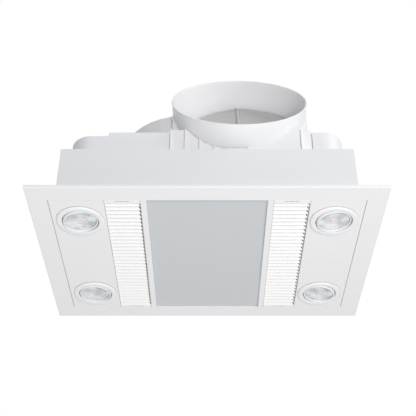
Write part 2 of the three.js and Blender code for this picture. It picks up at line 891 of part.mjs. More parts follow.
// The hood's body: a front plate with a shelf behind its top, a face square to the duct's axis, and a barrel
function hoodBody(inset) {
  const front = hoodFront + inset;
  const base = drumBase + inset;
  const barrelFront = -collarLength - restGap - inset;
  const barrel = inDuctFrame(rod(collarRadius - inset, -hoodEnd + inset, barrelFront, collarFacets));
  const [faceY, faceZ] = axisPoint(faceDepth + inset / Math.cos(rise));
  const shelfZ = drumBase + hoodPlateHeight - inset;
  const shelfY = faceY - (faceZ - shelfZ) * Math.tan(rise);
  const [backY] = axisPoint(faceDepth + drumShelf / Math.sin(rise));
  const boxed = prismX([
    [front, base],
    [front, shelfZ],
    [shelfY, shelfZ],
    [faceY, faceZ],
    [backY, drumTop],
    [backY, base],
  ], hoodLeft + inset, hoodRight - inset);
  const above = block(hoodLeft - overrun, hoodRight + overrun, hoodFront - overrun, -hoodFront,
    base, 2 * collarZ);
  return barrel.intersect(above).add(boxed);
}

// Upright ribs on the front plate
function hoodRibs() {
  const list = [];
  for (let i = 0; i < hoodRibCount; i += 1) {
    const x0 = hoodLeft + i * hoodRibPitch;
    list.push(block(x0, x0 + hoodRibThickness, hoodFront - hoodRibRise, hoodFront + hoodWall / 2,
      drumBase, drumBase + hoodPlateHeight));
  }
  return list;
}

function ductSpace(radius, front, back) {
  return inDuctFrame(rod(radius, -back, -front, collarFacets));
}

// Upper casing: a stepped tray with round corners, cut out round the scroll and the hood

function upperCasing() {
  const shell = cut(casingBody(0, casingBase), [casingBody(casingWall, casingBase - overrun)]);
  const scrollRoom = prismZ(scrollShape(runGap, hoodFront - overrun),
    casingBase - overrun, casingHighTop + overrun);
  const hoodRoom = block(hoodLeft - runGap, hoodRight + runGap, -casingDepth, fanY,
    casingBase - overrun, casingHighTop + overrun);
  return cut(shell, [scrollRoom, hoodRoom]);
}

function scrollCasing() {
  const front = scrollFront();
  const shell = prismZ(scrollShape(0, front), drumBase, drumTop);
  const inlet = moved(rod(inletRadius + inletWall + runGap, 0, drumBase + drumWall + overrun, throatFacets),
    fanX, fanY, 0);
  const motorHole = motorCoreRadius + motorHoleGap;
  const motor = moved(rod(motorHole, drumTop - overrun, drumTop + overrun, ringFacets), fanX, fanY, 0);
  const frontRoom = inDuctFrame(block(-collarRadius - restGap, collarRadius + overrun,
    -2 * collarRadius, 2 * collarRadius, -collarLength - 2 * restGap, collarLength));
  return cut(shell, [scrollInside(hoodFront), inlet, motor, hoodBody(-restGap), frontRoom]);
}

function outletHood() {
  const shell = cut(hoodBody(0), [hoodBody(hoodWall)]);
  const sleeveRoom = ductSpace(sleeveRadius + sleeveThickness + restGap, 0, hoodEnd - hoodWall - restGap);
  const collarRoom = ductSpace(collarRadius + restGap, -collarLength, collarLength + restGap);
  const flow = scrollInside(scrollFront() - hoodWall);
  const [faceY] = axisPoint(faceDepth);
  const cheekEnds = [scrollFront() - hoodWall, faceY];
  const cheek = block(hoodLeft, hoodLeft + hoodWall, Math.min(...cheekEnds), Math.max(...cheekEnds),
    drumBase, drumTop);
  const body = cut(shell, [flow]);
  return cut(union([body, cheek, ...hoodRibs()]), [sleeveRoom, collarRoom]);
}

// Duct collar: a tapered spigot with a bead at its mouth, and a sleeve behind it that carries the shutter

function ductCollar() {
  const root = -collarLength;
  const body = turned([
    [sleeveRadius, -sleeveEnd],
    [sleeveRadius + sleeveThickness, -sleeveEnd],
    [sleeveRadius + sleeveThickness, root],
    [collarRootRadius, root],
    [collarRadius - collarBeadRise, -collarBead],
    [collarRadius, -collarBead],
    [collarRadius, 0],
    [collarRadius - collarThickness, 0],
    [sleeveRadius, root],
  ], collarFacets);
  const pinHole = new THREE.CylinderGeometry(
    pinRadius + pinClearance, pinRadius + pinClearance, 2 * collarRadius, smallFacets);
  pinHole.translate(0, 0, -pinDepth);
  const stops = [[-1, leafSweeps.left], [1, leafSweeps.right]].map(([side, sweep]) => {
    const swept = leafRadius * Math.sin(THREE.MathUtils.degToRad(sweep));
    const restDepth = pinDepth + swept + leafThickness / 2;
    const x0 = side * (sleeveRadius - stopDepth);
    const x1 = side * (sleeveRadius + sleeveThickness / 2);
    return block(Math.min(x0, x1), Math.max(x0, x1), -stopWidth / 2, stopWidth / 2,
      -sleeveEnd, -restDepth - restGap);
  });
  return inDuctFrame(cut(union([body, ...stops]), [solidOf(pinHole)]));
}

function shutterPin() {
  const half = sleeveRadius + sleeveThickness;
  const pin = new THREE.CylinderGeometry(pinRadius, pinRadius, 2 * half, smallFacets);
  pin.translate(0, 0, -pinDepth);
  return inDuctFrame(solidOf(pin));
}

// A shutter leaf: half a disc with two knuckles round the pin
function shutterLeaf(side, sweep) {
  const inner = knuckleRadius / 2;
  const shape = new THREE.Shape();
  const reach = Math.acos(inner / leafRadius);
  shape.moveTo(inner, -leafRadius * Math.sin(reach));
  shape.absarc(0, 0, leafRadius, -reach, reach, false);
  const disc = extrusion(shape, leafThickness, collarFacets / 2);
  disc.translate(0, 0, -leafThickness / 2);
  const span = 2 * (leafRadius - knuckleRadius) / knuckleCount;
  const knuckles = [];
  const clears = [];
  for (let i = 0; i < knuckleCount; i += 1) {
    const y0 = -leafRadius + knuckleRadius + i * span;
    const own = (i % 2 === 0) === (side > 0);
    const radius = own ? knuckleRadius : knuckleRadius + runGap;
    const trim = own ? -runGap : runGap;
    const tube = new THREE.CylinderGeometry(radius, radius, span + trim, smallFacets);
    tube.translate(0, y0 + span / 2, 0);
    (own ? knuckles : clears).push(solidOf(tube));
  }
  const bore = solidOf(new THREE.CylinderGeometry(
    pinRadius + pinClearance, pinRadius + pinClearance, 2 * collarRadius, smallFacets));
  const flat = cut(union([solidOf(disc), ...knuckles]), [...clears, bore]);
  const leaf = flat.rotate([0, sweep, 0]);
  const sided = side > 0 ? leaf : leaf.mirror([1, 0, 0]);
  return inDuctFrame(moved(sided, 0, 0, -pinDepth));
}

// Fan: inlet ring, bladed impeller, shaft and motor

function inletRing() {
  const top = housingTop - housingWall - restGap;
  const bore = inletRadius;
  const outer = inletRadius + inletWall;
  return moved(turned([
    [bore + inletFlange, top - inletWall],
    [bore + inletFlange, top],
    [outer, top],
    [outer, top + inletRise],
    [bore, top + inletRise],
    [bore, top],
    [bore + inletWall, top - inletWall],
  ], throatFacets), fanX, fanY, 0);
}

function impeller() {
  const top = impellerTop;
  const inner = impellerRadius - bladeDepth;
  const disc = turned([
    [shaftRadius + pinClearance, top - impellerDisc],
    [impellerRadius, top - impellerDisc],
    [impellerRadius, top],
    [shaftRadius + pinClearance, top],
  ], throatFacets);
  const ring = turned([
    [inner + bladeDepth / 2, impellerBottom],
    [impellerRadius, impellerBottom],
    [impellerRadius, impellerBottom + impellerRing],
    [inner + bladeDepth / 2, impellerBottom + impellerRing],
  ], throatFacets);
  const hub = turned([
    [shaftRadius + pinClearance, top - hubHeight],
    [hubRadius, top - hubHeight],
    [hubRadius, top - impellerDisc / 2],
    [shaftRadius + pinClearance, top - impellerDisc / 2],
  ], smallFacets);
  const outerEdge = impellerRadius - bladeThickness;
  const middle = (inner + outerEdge) / 2;
  const bladeShape = shapeOf([
    [inner, 0],
    [middle, -bladeLean / 3],
    [outerEdge, -bladeLean],
    [outerEdge, -bladeLean + bladeThickness],
    [middle, -bladeLean / 3 + bladeThickness],
    [inner, bladeThickness],
  ]);
  const blade = prismZ(bladeShape, impellerBottom + impellerRing / 2, top - impellerDisc / 2);
  const blades = [];
  for (let i = 0; i < bladeCount; i += 1) {
    blades.push(blade.rotate([0, 0, i * 360 / bladeCount]));
  }
  return moved(union([disc, ring, hub, ...blades]), fanX, fanY, 0);
}

function fanShaft() {
  const top = drumTop - motorBossDrop - restGap;
  return moved(rod(shaftRadius, impellerTop - hubHeight - shaftDrop, top, smallFacets),
    fanX, fanY, 0);
}

function motor() {
  const seat = drumTop + restGap;
  const top = motorTop;
  const body = turned([
    [0, drumTop - motorBossDrop],
    [motorBoss, drumTop - motorBossDrop],
    [motorCoreRadius, drumTop],
    [motorCoreRadius, seat],
    [motorFlange, seat],
    [motorFlange, seat + motorFlangeThickness],
    [motorRadius, seat + motorFlangeThickness],
    [motorRadius, top - motorFlangeThickness],
    [motorRadius - motorFlangeThickness, top],
    [0, top],
  ], ringFacets);
  const vents = [];
  for (let i = 0; i < ventCount; i += 1) {
    const ventBase = seat + 2 * motorFlangeThickness;
    const vent = block(motorRadius - motorFlangeThickness, motorRadius + overrun,
      -ventWidth / 2, ventWidth / 2, ventBase, ventBase + ventHeight);
    vents.push(vent.rotate([0, 0, i * 360 / ventCount]));
  }
  return moved(cut(body, vents), fanX, fanY, 0);
}

// Wiring: terminal box on the casing's low step, lid, terminal block, cable gland, motor capacitor

const terminalSeat = casingHighTop + restGap;

function terminalBox() {
  const z1 = terminalSeat + terminalHeight;
  const shell = centredBlock(terminalWidth, terminalDepth, terminalSeat, z1);
  const hollow = centredBlock(terminalWidth - 2 * terminalWall, terminalDepth - 2 * terminalWall,
    terminalSeat + terminalWall, z1 + overrun);
  const entry = new THREE.CylinderGeometry(
    glandThreadRadius + restGap, glandThreadRadius + restGap, terminalDepth, 2 * glandSides);
  entry.translate(0, terminalDepth / 2, terminalSeat + terminalHeight / 2);
  return moved(cut(shell, [hollow, solidOf(entry)]), terminalX, terminalY, 0);
}

function terminalLid() {
  const z0 = terminalSeat + terminalHeight + restGap;
  const lip = terminalWall + runGap;
  const plate = centredBlock(terminalWidth, terminalDepth, z0, z0 + lidThickness);
  const plug = centredBlock(terminalWidth - 2 * lip, terminalDepth - 2 * lip,
    z0 - lidThickness, z0 + lidThickness / 2);
  return moved(plate.add(plug), terminalX, terminalY, 0);
}

function terminalBlock() {
  const z0 = terminalSeat + terminalWall + restGap;
  const blockDepth = terminalDepth - 2 * (terminalWall + blockRoom);
  const body = centredBlock(blockWidth, blockDepth, z0, z0 + blockHeight);
  const pitch = blockDepth / blockWays;
  const notches = [];
  for (let i = 1; i < blockWays; i += 1) {
    const y = -blockDepth / 2 + i * pitch;
    notches.push(block(-blockWidth, blockWidth, y - blockNotch / 2, y + blockNotch / 2,
      z0 + blockHeight - blockNotch, z0 + blockHeight + overrun));
  }
  return moved(cut(body, notches), terminalX, terminalY, 0);
}

function cableGland() {
  const wallOut = terminalDepth / 2 + restGap;
  const thread = [
    [glandBore, wallOut - 2 * terminalWall],
    [glandThreadRadius, wallOut - 2 * terminalWall],
    [glandThreadRadius, wallOut],
    [glandRadius, wallOut],
    [glandRadius, wallOut + glandNut],
    [glandThreadRadius, wallOut + glandNut],
    [glandThreadRadius, wallOut + glandLength],
    [glandBore, wallOut + glandLength],
  ];
  const gland = turned(thread, 2 * glandSides).rotate([-90, 0, 0]);
  return moved(gland, terminalX, terminalY, terminalSeat + terminalHeight / 2);
}

function capacitor() {
  const seat = casingHighTop + restGap;
  const half = capacitorLength / 2;
  const can = turned([
    [0, -half],
    [capacitorRadius - capacitorEdge, -half],
    [capacitorRadius, -half + capacitorEdge],
    [capacitorRadius, half],
    [0, half],
  ], 2 * smallFacets).rotate([0, 90, 0]);
  const foot = centredBlock(capacitorFootWidth, capacitorFootWidth, -capacitorRadius - capacitorFoot, 0);
  return moved(can.add(foot), capacitorX, capacitorY, seat + capacitorRadius + capacitorFoot);
}

// Assembly

addNode('fascia_frame', fasciaFrame(), 'white');
addNode('front_glass', frontGlass(), 'glass');
for (const [side, sideName] of [[-1, 'left'], [1, 'right']]) {
  addNode(`lamp_panel_${sideName}`, lampPanel(side), 'white');
  addNode(`louvre_grille_${sideName}`, louvreGrille(side), 'white');
  addNode(`heat_tube_${sideName}`, heatTube(side), 'quartz');
  addNode(`shutter_leaf_${sideName}`, shutterLeaf(side, leafSweeps[sideName]), 'dark');
}
addNode('glass_strip_front', glassStrip(-1), 'steel');
addNode('glass_strip_rear', glassStrip(1), 'steel');

const corners = [
  ['front_left', -1, -1],
  ['front_right', 1, -1],
  ['rear_left', -1, 1],
  ['rear_right', 1, 1],
];
const fixedPieces = [['trim_ring', trimRing(), 'white'], ['retainer_ring', retainerRing(), 'dark']];
const tiltingPieces = [
  ['gimbal_ring', gimbalRing(), 'white'],
  ['lamp_body', lampBody(), 'alloy'],
  ['lamp_lens', lampLens(), 'lens'],
];
for (const [corner, side, way] of corners) {
  for (const [piece, solid, finish] of fixedPieces) {
    addNode(`${piece}_${corner}`, solid, finish).position.set(side * lampX, way * lampY, 0);
  }
  for (const [piece, solid, finish] of tiltingPieces) {
    const mesh = addNode(`${piece}_${corner}`, solid, finish);
    mesh.position.set(side * lampX, way * lampY, pivotHeight);
    mesh.rotation.y = THREE.MathUtils.degToRad(tilts[corner]);
  }
  addNode(`tube_holder_${corner}`, tubeHolder(side, way), 'ceramic');
  addNode(`fascia_clip_${corner}`, fasciaClip(side, way), 'steel');
}

addNode('reflector', reflector(), 'mirror');
addNode('thermal_cutout', thermalCutout(), 'dark');
addNode('housing_box', housingBox(), 'coated');
addNode('upper_casing', upperCasing(), 'casing');
addNode('scroll_casing', scrollCasing(), 'casing');
addNode('outlet_hood', outletHood(), 'casing');
addNode('duct_collar', ductCollar(), 'casing');
addNode('shutter_pin', shutterPin(), 'steel');
addNode('inlet_ring', inletRing(), 'casing');
addNode('impeller', impeller(), 'fan');
addNode('fan_shaft', fanShaft(), 'steel');
addNode('motor', motor(), 'alloy');
addNode('terminal_box', terminalBox(), 'casing');
addNode('terminal_lid', terminalLid(), 'casing');
addNode('terminal_block', terminalBlock(), 'dark');
addNode('cable_gland', cableGland(), 'dark');
addNode('motor_capacitor', capacitor(), 'casing');

export default group;
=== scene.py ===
"""Looks of the bathroom ceiling heater, laid out as an add-on and run as a script.

The CAD model is loaded as a fixed frame. Pieces with turned or softly edged surfaces are made here
at a finer grade and stand for their CAD nodes; the others keep their CAD shape and get a material.
All sizes are metres in the CAD's frame.
"""

import math

import bmesh
import bpy
import numpy as np
from mathutils import Matrix, Vector


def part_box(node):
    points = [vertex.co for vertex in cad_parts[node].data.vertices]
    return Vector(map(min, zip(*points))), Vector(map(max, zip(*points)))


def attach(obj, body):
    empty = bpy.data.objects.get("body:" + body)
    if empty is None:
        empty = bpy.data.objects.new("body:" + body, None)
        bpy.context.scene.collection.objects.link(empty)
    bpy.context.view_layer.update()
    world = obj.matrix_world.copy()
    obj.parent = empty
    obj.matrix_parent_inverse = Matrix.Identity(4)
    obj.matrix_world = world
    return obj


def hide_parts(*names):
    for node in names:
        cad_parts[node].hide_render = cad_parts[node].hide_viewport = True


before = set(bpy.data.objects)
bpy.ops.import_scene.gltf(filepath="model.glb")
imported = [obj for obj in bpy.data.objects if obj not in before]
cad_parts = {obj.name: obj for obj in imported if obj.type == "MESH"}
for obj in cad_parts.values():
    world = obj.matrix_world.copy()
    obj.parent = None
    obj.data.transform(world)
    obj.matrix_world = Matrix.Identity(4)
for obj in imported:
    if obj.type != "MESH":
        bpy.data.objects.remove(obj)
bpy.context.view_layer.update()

bl_info = {
    "name": "Bathroom ceiling heater",
    "version": (1, 0, 0),
    "blender": (4, 5, 0),
    "location": "3D View > Sidebar > Heater",
    "description": "Builds the finished surfaces, materials and studio of a bathroom ceiling heater",
    "category": "Object",
}

# Tilt of each lamp at rest about the Y axis, in degrees
CORNERS = {"front_left": -5, "front_right": -5, "rear_left": 0, "rear_right": 5}
MM = 0.001
# Length by which a grille's hooks reach behind the fascia's ledges
GRIP = 2 * MM
# Facets of the lamps' and of the collar's round faces
LAMP_FACETS = 128
DUCT_FACETS = 220


# Sizes and colours that a user would change


def length(name, description, default, low=0.0, high=1.0):
    """A length property in metres."""
    return bpy.props.FloatProperty(
        name=name, description=description, default=default, min=low, max=high,
        precision=5, subtype="DISTANCE", unit="LENGTH")


def colour(name, description, default):
    """A linear colour property."""
    return bpy.props.FloatVectorProperty(
        name=name, description=description, default=default, min=0.0, max=1.0,
        size=3, subtype="COLOR")


def angle(name, description, degrees):
    """An angle property, its default given in degrees."""
    return bpy.props.FloatProperty(
        name=name, description=description, default=math.radians(degrees), subtype="ANGLE", unit="ROTATION")


def power(name, description, default):
    """A light's power in watts."""
    return bpy.props.FloatProperty(
        name=name, description=description, default=default, min=0.0, unit="POWER")


def point(name, description, default):
    """A place in the CAD's frame."""
    return bpy.props.FloatVectorProperty(
        name=name, description=description, default=default, size=3, subtype="TRANSLATION", unit="LENGTH")


class HeaterLampSizes(bpy.types.PropertyGroup):
    """Sizes of the four tilting lamps."""

    pivot_height: length("Pivot height", "Height of the tilt axis over the ceiling's face", -0.003, -0.1)
    ring_radius: length("Ring radius", "Outer radius of the trim ring", 0.033)
    ring_face: length("Ring face", "Height of the trim ring's lowest edge", -0.0073, -0.1)
    ring_seat: length("Ring seat", "Height at which the trim ring lies on its panel", -0.0043, -0.1)
    ring_top: length("Ring top", "Height of the trim ring's collar", 0.0077)
    ring_bore: length("Ring bore", "Inner radius of the trim ring", 0.0254)
    gimbal_radius: length("Gimbal radius", "Radius of the ball-shaped gimbal ring", 0.0244)
    lens_radius: length("Lens radius", "Outer radius of the lens", 0.0213)


class HeaterGrilleSizes(bpy.types.PropertyGroup):
    """Sizes of the two slatted intake grilles."""

    slats: bpy.props.IntProperty(name="Slats", description="Number of slats in a grille", default=31, min=1)
    pitch: length("Pitch", "Distance from one slat to the next", 0.00888)
    run: length("Run", "Depth of a slat along the grille", 0.0076)
    drop: length("Drop", "Height over which a slat slants", 0.005)
    sheet: length("Sheet", "Thickness of a slat", 0.0013)
    face: length("Face", "Height of the grille's face", -0.004, -0.1)
    rail: length("Rail", "Thickness of the rails at the slats' ends", 0.0012)
    recess: length("Rail recess", "Height of the right rail's edge over the face", 0.0036)
    relief: length("Relief", "Length by which a slat's right end is cut back at its deep edge", 0.0048)
    slot_length: length("Slot length", "Length of the clip slots", 0.02)
    slot_width: length("Slot width", "Width of the clip slots", 0.0016)


class HeaterDuctSizes(bpy.types.PropertyGroup):
    """Place and sizes of the duct collar and its shutter."""

    middle: point("Mouth centre", "Centre of the collar's mouth", (0.0475, -0.1229, 0.19403))
    rise: angle("Rise", "Upward slant of the collar's axis", 28.3)
    radius: length("Collar radius", "Outer radius of the collar's mouth", 0.1)
    wall: length("Collar wall", "Wall thickness of the collar", 0.0025)
    depth: length("Collar depth", "Length of the tapered part that the duct goes over", 0.0345)
    sleeve: length("Sleeve radius", "Inner radius of the sleeve behind the taper", 0.092)
    sleeve_end: length("Sleeve end", "Depth at which the sleeve ends", 0.05996)
    pin_depth: length("Pin depth", "Depth of the shutter's pin behind the mouth", 0.044)
    knuckle: length("Knuckle radius", "Radius of the knuckles that hold the leaves on the pin", 0.0028)
    leaf_radius: length("Leaf radius", "Radius of the shutter's leaves", 0.0895)
    sweep_left: angle("Left leaf", "Angle by which the left leaf leans inwards at rest", 8.0)
    sweep_right: angle("Right leaf", "Angle by which the right leaf leans inwards at rest", 2.0)


class HeaterFanSizes(bpy.types.PropertyGroup):
    """Place and sizes of the fan motor and the capacitor."""

    middle_x: length("Fan X", "Fan axis along the long side", -0.032, -1.0)
    middle_y: length("Fan Y", "Fan axis along the short side", -0.013, -1.0)
    seat: length("Motor seat", "Height of the motor's flange", 0.17533)
    radius: length("Motor radius", "Radius of the motor's shell", 0.026)
    flange: length("Motor flange", "Radius of the motor's flange", 0.036)
    rise: length("Motor rise", "Height of the motor over its seat", 0.021)


class HeaterEdges(bpy.types.PropertyGroup):
    """Edge rounding of the moulded and folded pieces."""

    moulded: length("Moulded edge", "Rounding of moulded edges", 0.0005)
    sheet: length("Sheet edge", "Rounding of cut sheet edges", 0.0002)
    slat: length("Slat edge", "Rounding of the grilles' slats", 0.0003)
    glass: length("Glass edge", "Ground edge of the front glass", 0.0005)


class HeaterColours(bpy.types.PropertyGroup):
    """Colours of the finishes, as scene-linear values."""

    fascia: colour("Fascia", "Satin white of the fascia and lamp rings", (0.8, 0.798, 0.802))
    louvre: colour("Louvre", "Bright white of the intake grilles", (0.83, 0.826, 0.818))
    coated: colour("Coated steel", "White powder coating of the housing", (0.74, 0.745, 0.757))
    casing: colour("Casing", "White moulding of the upper casing and the fan's drum", (0.77, 0.775, 0.79))
    duct: colour("Duct", "White moulding of the outlet hood and the collar", (0.85, 0.852, 0.86))
    shutter: colour("Shutter", "Grey moulding of the shutter", (0.5, 0.495, 0.49))
    glass: colour("Front glass", "Frosted grey of the heater glass", (0.555, 0.576, 0.587))
    dark: colour("Dark plastic", "Fan wheel, retainers and gland", (0.05, 0.053, 0.057))
    zinc: colour("Zinc", "Plated steel", (0.62, 0.63, 0.65))
    alloy: colour("Alloy", "Die-cast alloy", (0.5, 0.51, 0.53))
    mirror: colour("Reflector", "Polished reflector sheet", (0.86, 0.87, 0.88))
    ceramic: colour("Ceramic", "Unglazed tube holders", (0.78, 0.73, 0.62))


class HeaterStage(bpy.types.PropertyGroup):
    """Floor, light and camera."""

    floor_height: length("Floor height", "Height of the floor under the ceiling", -2.4, -10.0)
    floor_size: length("Floor size", "Side of the square floor", 12.0, 0.0, 100.0)
    world_level: bpy.props.FloatProperty(
        name="World level", description="Level of the even light from all round", default=0.4615, min=0.0)
    key_level: power("Key level", "Power of the key light, low at the right", 13.6)
    low_level: power("Low level", "Power of the wide light under the heater", 13.8)
    high_level: power("High level", "Power of the light above and in front at the right", 12.0)
    camera_place: point("Camera place", "Where the camera stands", (0.001, -1.064, -0.682))
    camera_pitch: angle("Camera pitch", "Angle of the camera above the horizon", 35.88)
    camera_lens: bpy.props.FloatProperty(
        name="Camera lens", description="Focal length on a 36 mm frame", default=74.55,
        min=1.0, unit="CAMERA")


# Surfaces


def linked(name, data):
    """A new object of the data, in the scene's collection."""
    made = bpy.data.objects.new(name, data)
    bpy.context.scene.collection.objects.link(made)
    return made


def finished(name, mesh, finish, nodes=(), slot=None, body="housing", sharp=math.radians(32)):
    """Closes seams and poles, turns faces outwards, smooths all but sharp edges and hands the piece over."""
    work = bmesh.new()
    work.from_mesh(mesh)
    bmesh.ops.remove_doubles(work, verts=work.verts, dist=2e-7)
    bmesh.ops.recalc_face_normals(work, faces=work.faces)
    work.to_mesh(mesh)
    work.free()
    mesh.polygons.foreach_set("use_smooth", np.ones(len(mesh.polygons), bool))
    mesh.set_sharp_from_angle(angle=sharp)
    piece = linked(name, mesh)
    mesh.materials.clear()
    mesh.materials.append(finish_named(finish))
    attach(piece, body)
    if nodes:
        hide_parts(*nodes)
    return piece


def grid_faces(rows, columns, closed):
    """Index quads between neighbouring rows, each of them a loop; closed joins the last row to the first."""
    row = np.arange(rows if closed else rows - 1)[:, None]
    column = np.arange(columns)[None, :]
    row_next = (row + 1) % rows
    column_next = (column + 1) % columns
    quads = np.stack([
        row * columns + column,
        row * columns + column_next,
        row_next * columns + column_next,
        row_next * columns + column,
    ], axis=-1)
    return quads.reshape(-1, 4)


def built(name, parts, finish, place=Matrix(), *rest, **more):
    """A finished piece that joins parts of (points, quads, caps), placed; caps are loops of point indices."""
    points, faces, first = [], [], 0
    for part in parts:
        spots, quads, caps = placed(part, place)
        points.append(spots.reshape(-1, 3))
        faces += (quads + first).tolist()
        faces += [(np.asarray(cap) + first).tolist() for cap in caps]
        first += len(points[-1])
    mesh = bpy.data.meshes.new(name)
    mesh.from_pydata(np.concatenate(points), [], faces)
    return finished(name, mesh, finish, *rest, **more)


def rounded(profile, radius, steps=4):
    """Rounds each corner of a closed profile.

    Each corner P becomes the curve (1-s)^2 A + 2s(1-s) P + s^2 B, where A and B lie on its two sides
    at the radius, or at 0.45 of the side where that is shorter.
    """
    corner = np.asarray(profile, float)
    radius = np.broadcast_to(np.asarray(radius, float), len(corner))[:, None]
    back = np.roll(corner, 1, axis=0) - corner
    ahead = np.roll(corner, -1, axis=0) - corner
    back_long = np.linalg.norm(back, axis=1, keepdims=True)
    ahead_long = np.linalg.norm(ahead, axis=1, keepdims=True)
    start = corner + back / back_long * np.minimum(radius, 0.45 * back_long)
    end = corner + ahead / ahead_long * np.minimum(radius, 0.45 * ahead_long)
    s = np.linspace(0, 1, steps + 1)[None, :, None]
    curve = (1 - s) ** 2 * start[:, None] + 2 * s * (1 - s) * corner[:, None] + s ** 2 * end[:, None]
    return curve.reshape(-1, 2)


def rect(x0, y0, x1, y1):
    """The four corners of a rectangle."""
    return np.array([(x0, y0), (x1, y0), (x1, y1), (x0, y1)])


def turned(profile, segments, lobes=None):
    """A closed (r, z) profile turned about Z to (r cos a, r sin a, z), where lobes(a) can multiply r."""
    profile = np.asarray(profile, float)
    a = np.linspace(0, 2 * np.pi, segments, endpoint=False)[None, :]
    r = profile[:, :1]
    z = np.broadcast_to(profile[:, 1:], (len(profile), segments))
    if lobes is not None:
        r = r * lobes(a)
    points = np.stack([r * np.cos(a), r * np.sin(a), z], axis=-1)
    return points, grid_faces(len(profile), segments, True), []


def capped(rings):
    """Rings of n points joined in order, with one face over the first ring and one over the last."""
    points = np.stack(rings)
    rows, n = points.shape[:2]
    first = np.arange(n)
    return points, grid_faces(rows, n, False), [first[::-1], first + n * (rows - 1)]


def prism(outline, levels):
    """An outline at each level of (height, share), scaled about its middle by the share."""
    outline = np.asarray(outline, float)
    middle = outline.mean(0)
    return capped([np.column_stack([middle + (outline - middle) * share, np.full(len(outline), z)])
                   for z, share in levels])


def at(x, y, z):
    """The translation from the origin to a place."""
    return Matrix.Translation((x, y, z))


def quarter(axis, times=1):
    """The rotation by a number of quarter turns about an axis."""
    return Matrix.Rotation(times * math.pi / 2, 4, axis)


def placed(part, matrix):
    """The part with every point p replaced by matrix times p."""
    points, quads, caps = part
    m = np.array(matrix)
    return points @ m[:3, :3].T + m[:3, 3], quads, caps


def copy_of(node, name, finish, edge):
    """A merged copy of a CAD node with its flat facets joined and its edges rounded by a bevel."""
    sharp = math.radians(28)
    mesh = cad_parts[node].data.copy()
    mesh.name = name
    work = bmesh.new()
    work.from_mesh(mesh)
    bmesh.ops.remove_doubles(work, verts=work.verts, dist=1e-6)
    bmesh.ops.dissolve_limit(work, angle_limit=math.radians(0.4), verts=work.verts, edges=work.edges)
    work.to_mesh(mesh)
    work.free()
    piece = finished(name, mesh, finish, nodes=[node], sharp=sharp)
    if edge:
        bevel = piece.modifiers.new("edges", "BEVEL")
        bevel.width = edge
        bevel.segments = 2
        bevel.limit_method = "ANGLE"
        bevel.angle_limit = sharp
        bevel.use_clamp_overlap = True
        bevel.harden_normals = True


# Materials


def wire(tree, node, sockets):
    """Links each named socket of a node to an output, or sets it to a value."""
    for label, source in sockets.items():
        if isinstance(source, bpy.types.NodeSocket):
            tree.links.new(source, node.inputs[label])
        else:
            node.inputs[label].default_value = source


def made_by(tree, kind, sockets, operation=None):
    """The first output of a new shader node with wired sockets."""
    node = tree.nodes.new("ShaderNode" + kind)
    if operation:
        node.operation = operation
    wire(tree, node, sockets)
    return node.outputs[0]


def noise(tree, vector, scale, detail=2.0):
    """The value of a noise texture."""
    return made_by(tree, "TexNoise", {"Vector": vector, "Scale": scale, "Detail": detail})


def new_group(name, inputs):
    """A shader node group with the named inputs that puts out a colour, a roughness and a height."""
    group = bpy.data.node_groups.new(name, "ShaderNodeTree")
    inputs = {"Vector": None, "Colour": (0.8, 0.8, 0.8, 1), **inputs}
    for label, default in inputs.items():
        kind = "Vector" if label in ("Vector", "Stretch") else "Color" if label == "Colour" else "Float"
        socket = group.interface.new_socket(name=label, in_out="INPUT", socket_type=f"NodeSocket{kind}")
        if default is not None:
            socket.default_value = default
    for label, kind in (("Colour", "Color"), ("Roughness", "Float"), ("Height", "Float")):
        group.interface.new_socket(name=label, in_out="OUTPUT", socket_type=f"NodeSocket{kind}")
    return group, group.nodes.new("NodeGroupInput").outputs


def vary(group, given, mask, contrast, spread, height):
    """Puts out colour (1 + contrast (mask - 0.5)), roughness gloss + spread (mask - 0.5), and the height."""
    centred = made_by(group, "Math", {0: mask, 1: 0.5}, "SUBTRACT")
    shade = made_by(group, "Math", {0: centred, 1: contrast, 2: 1.0}, "MULTIPLY_ADD")
    tint = made_by(group, "VectorMath", {0: given["Colour"], "Scale": shade}, "SCALE")
    uneven = made_by(group, "Math", {0: centred, 1: spread, 2: given["Gloss"]}, "MULTIPLY_ADD")
    out = group.nodes.new("NodeGroupOutput")
    wire(group, out, {"Colour": tint, "Roughness": uneven, "Height": height})


def moulding_group():
    """Moulded or coated surface: faint cloudy shade and gloss from one noise, fine grain from another."""
    name = "moulded_surface"
    if name in bpy.data.node_groups:
        return bpy.data.node_groups[name]
    group, given = new_group(name, {"Cloud": 0.03, "Grain Scale": 900.0, "Gloss": 0.45, "Gloss Spread": 0.08})
    cloud = noise(group, given["Vector"], 9.0, 4.0)
    grain = noise(group, given["Vector"], given["Grain Scale"], 3.0)
    vary(group, given, cloud, given["Cloud"], given["Gloss Spread"], grain)
    return group


def streak_group():
    """Drawn or brushed metal: noise squeezed along one axis gives long streaks of shade, gloss and height."""
    name = "drawn_metal"
    if name in bpy.data.node_groups:
        return bpy.data.node_groups[name]
    group, given = new_group(name, {"Stretch": (1.0, 1.0, 1.0), "Contrast": 0.15, "Gloss": 0.35})
    squeezed = made_by(group, "VectorMath", {0: given["Vector"], 1: given["Stretch"]}, "MULTIPLY")
    streak = noise(group, squeezed, 160.0, 5.0)
    vary(group, given, streak, given["Contrast"], given["Contrast"], streak)
    return group


def blank_material(name, relief, depth):
    """A node material with its Principled shader, Object coordinates and a Bump that feeds Normal."""
    material = bpy.data.materials.new(name)
    material.use_nodes = True
    tree = material.node_tree
    shader = tree.nodes["Principled BSDF"]
    place = tree.nodes.new("ShaderNodeTexCoord").outputs["Object"]
    normal = made_by(tree, "Bump", {"Strength": relief, "Distance": depth})
    wire(tree, shader, {"Normal": normal})
    return material, tree, shader, place, normal.node


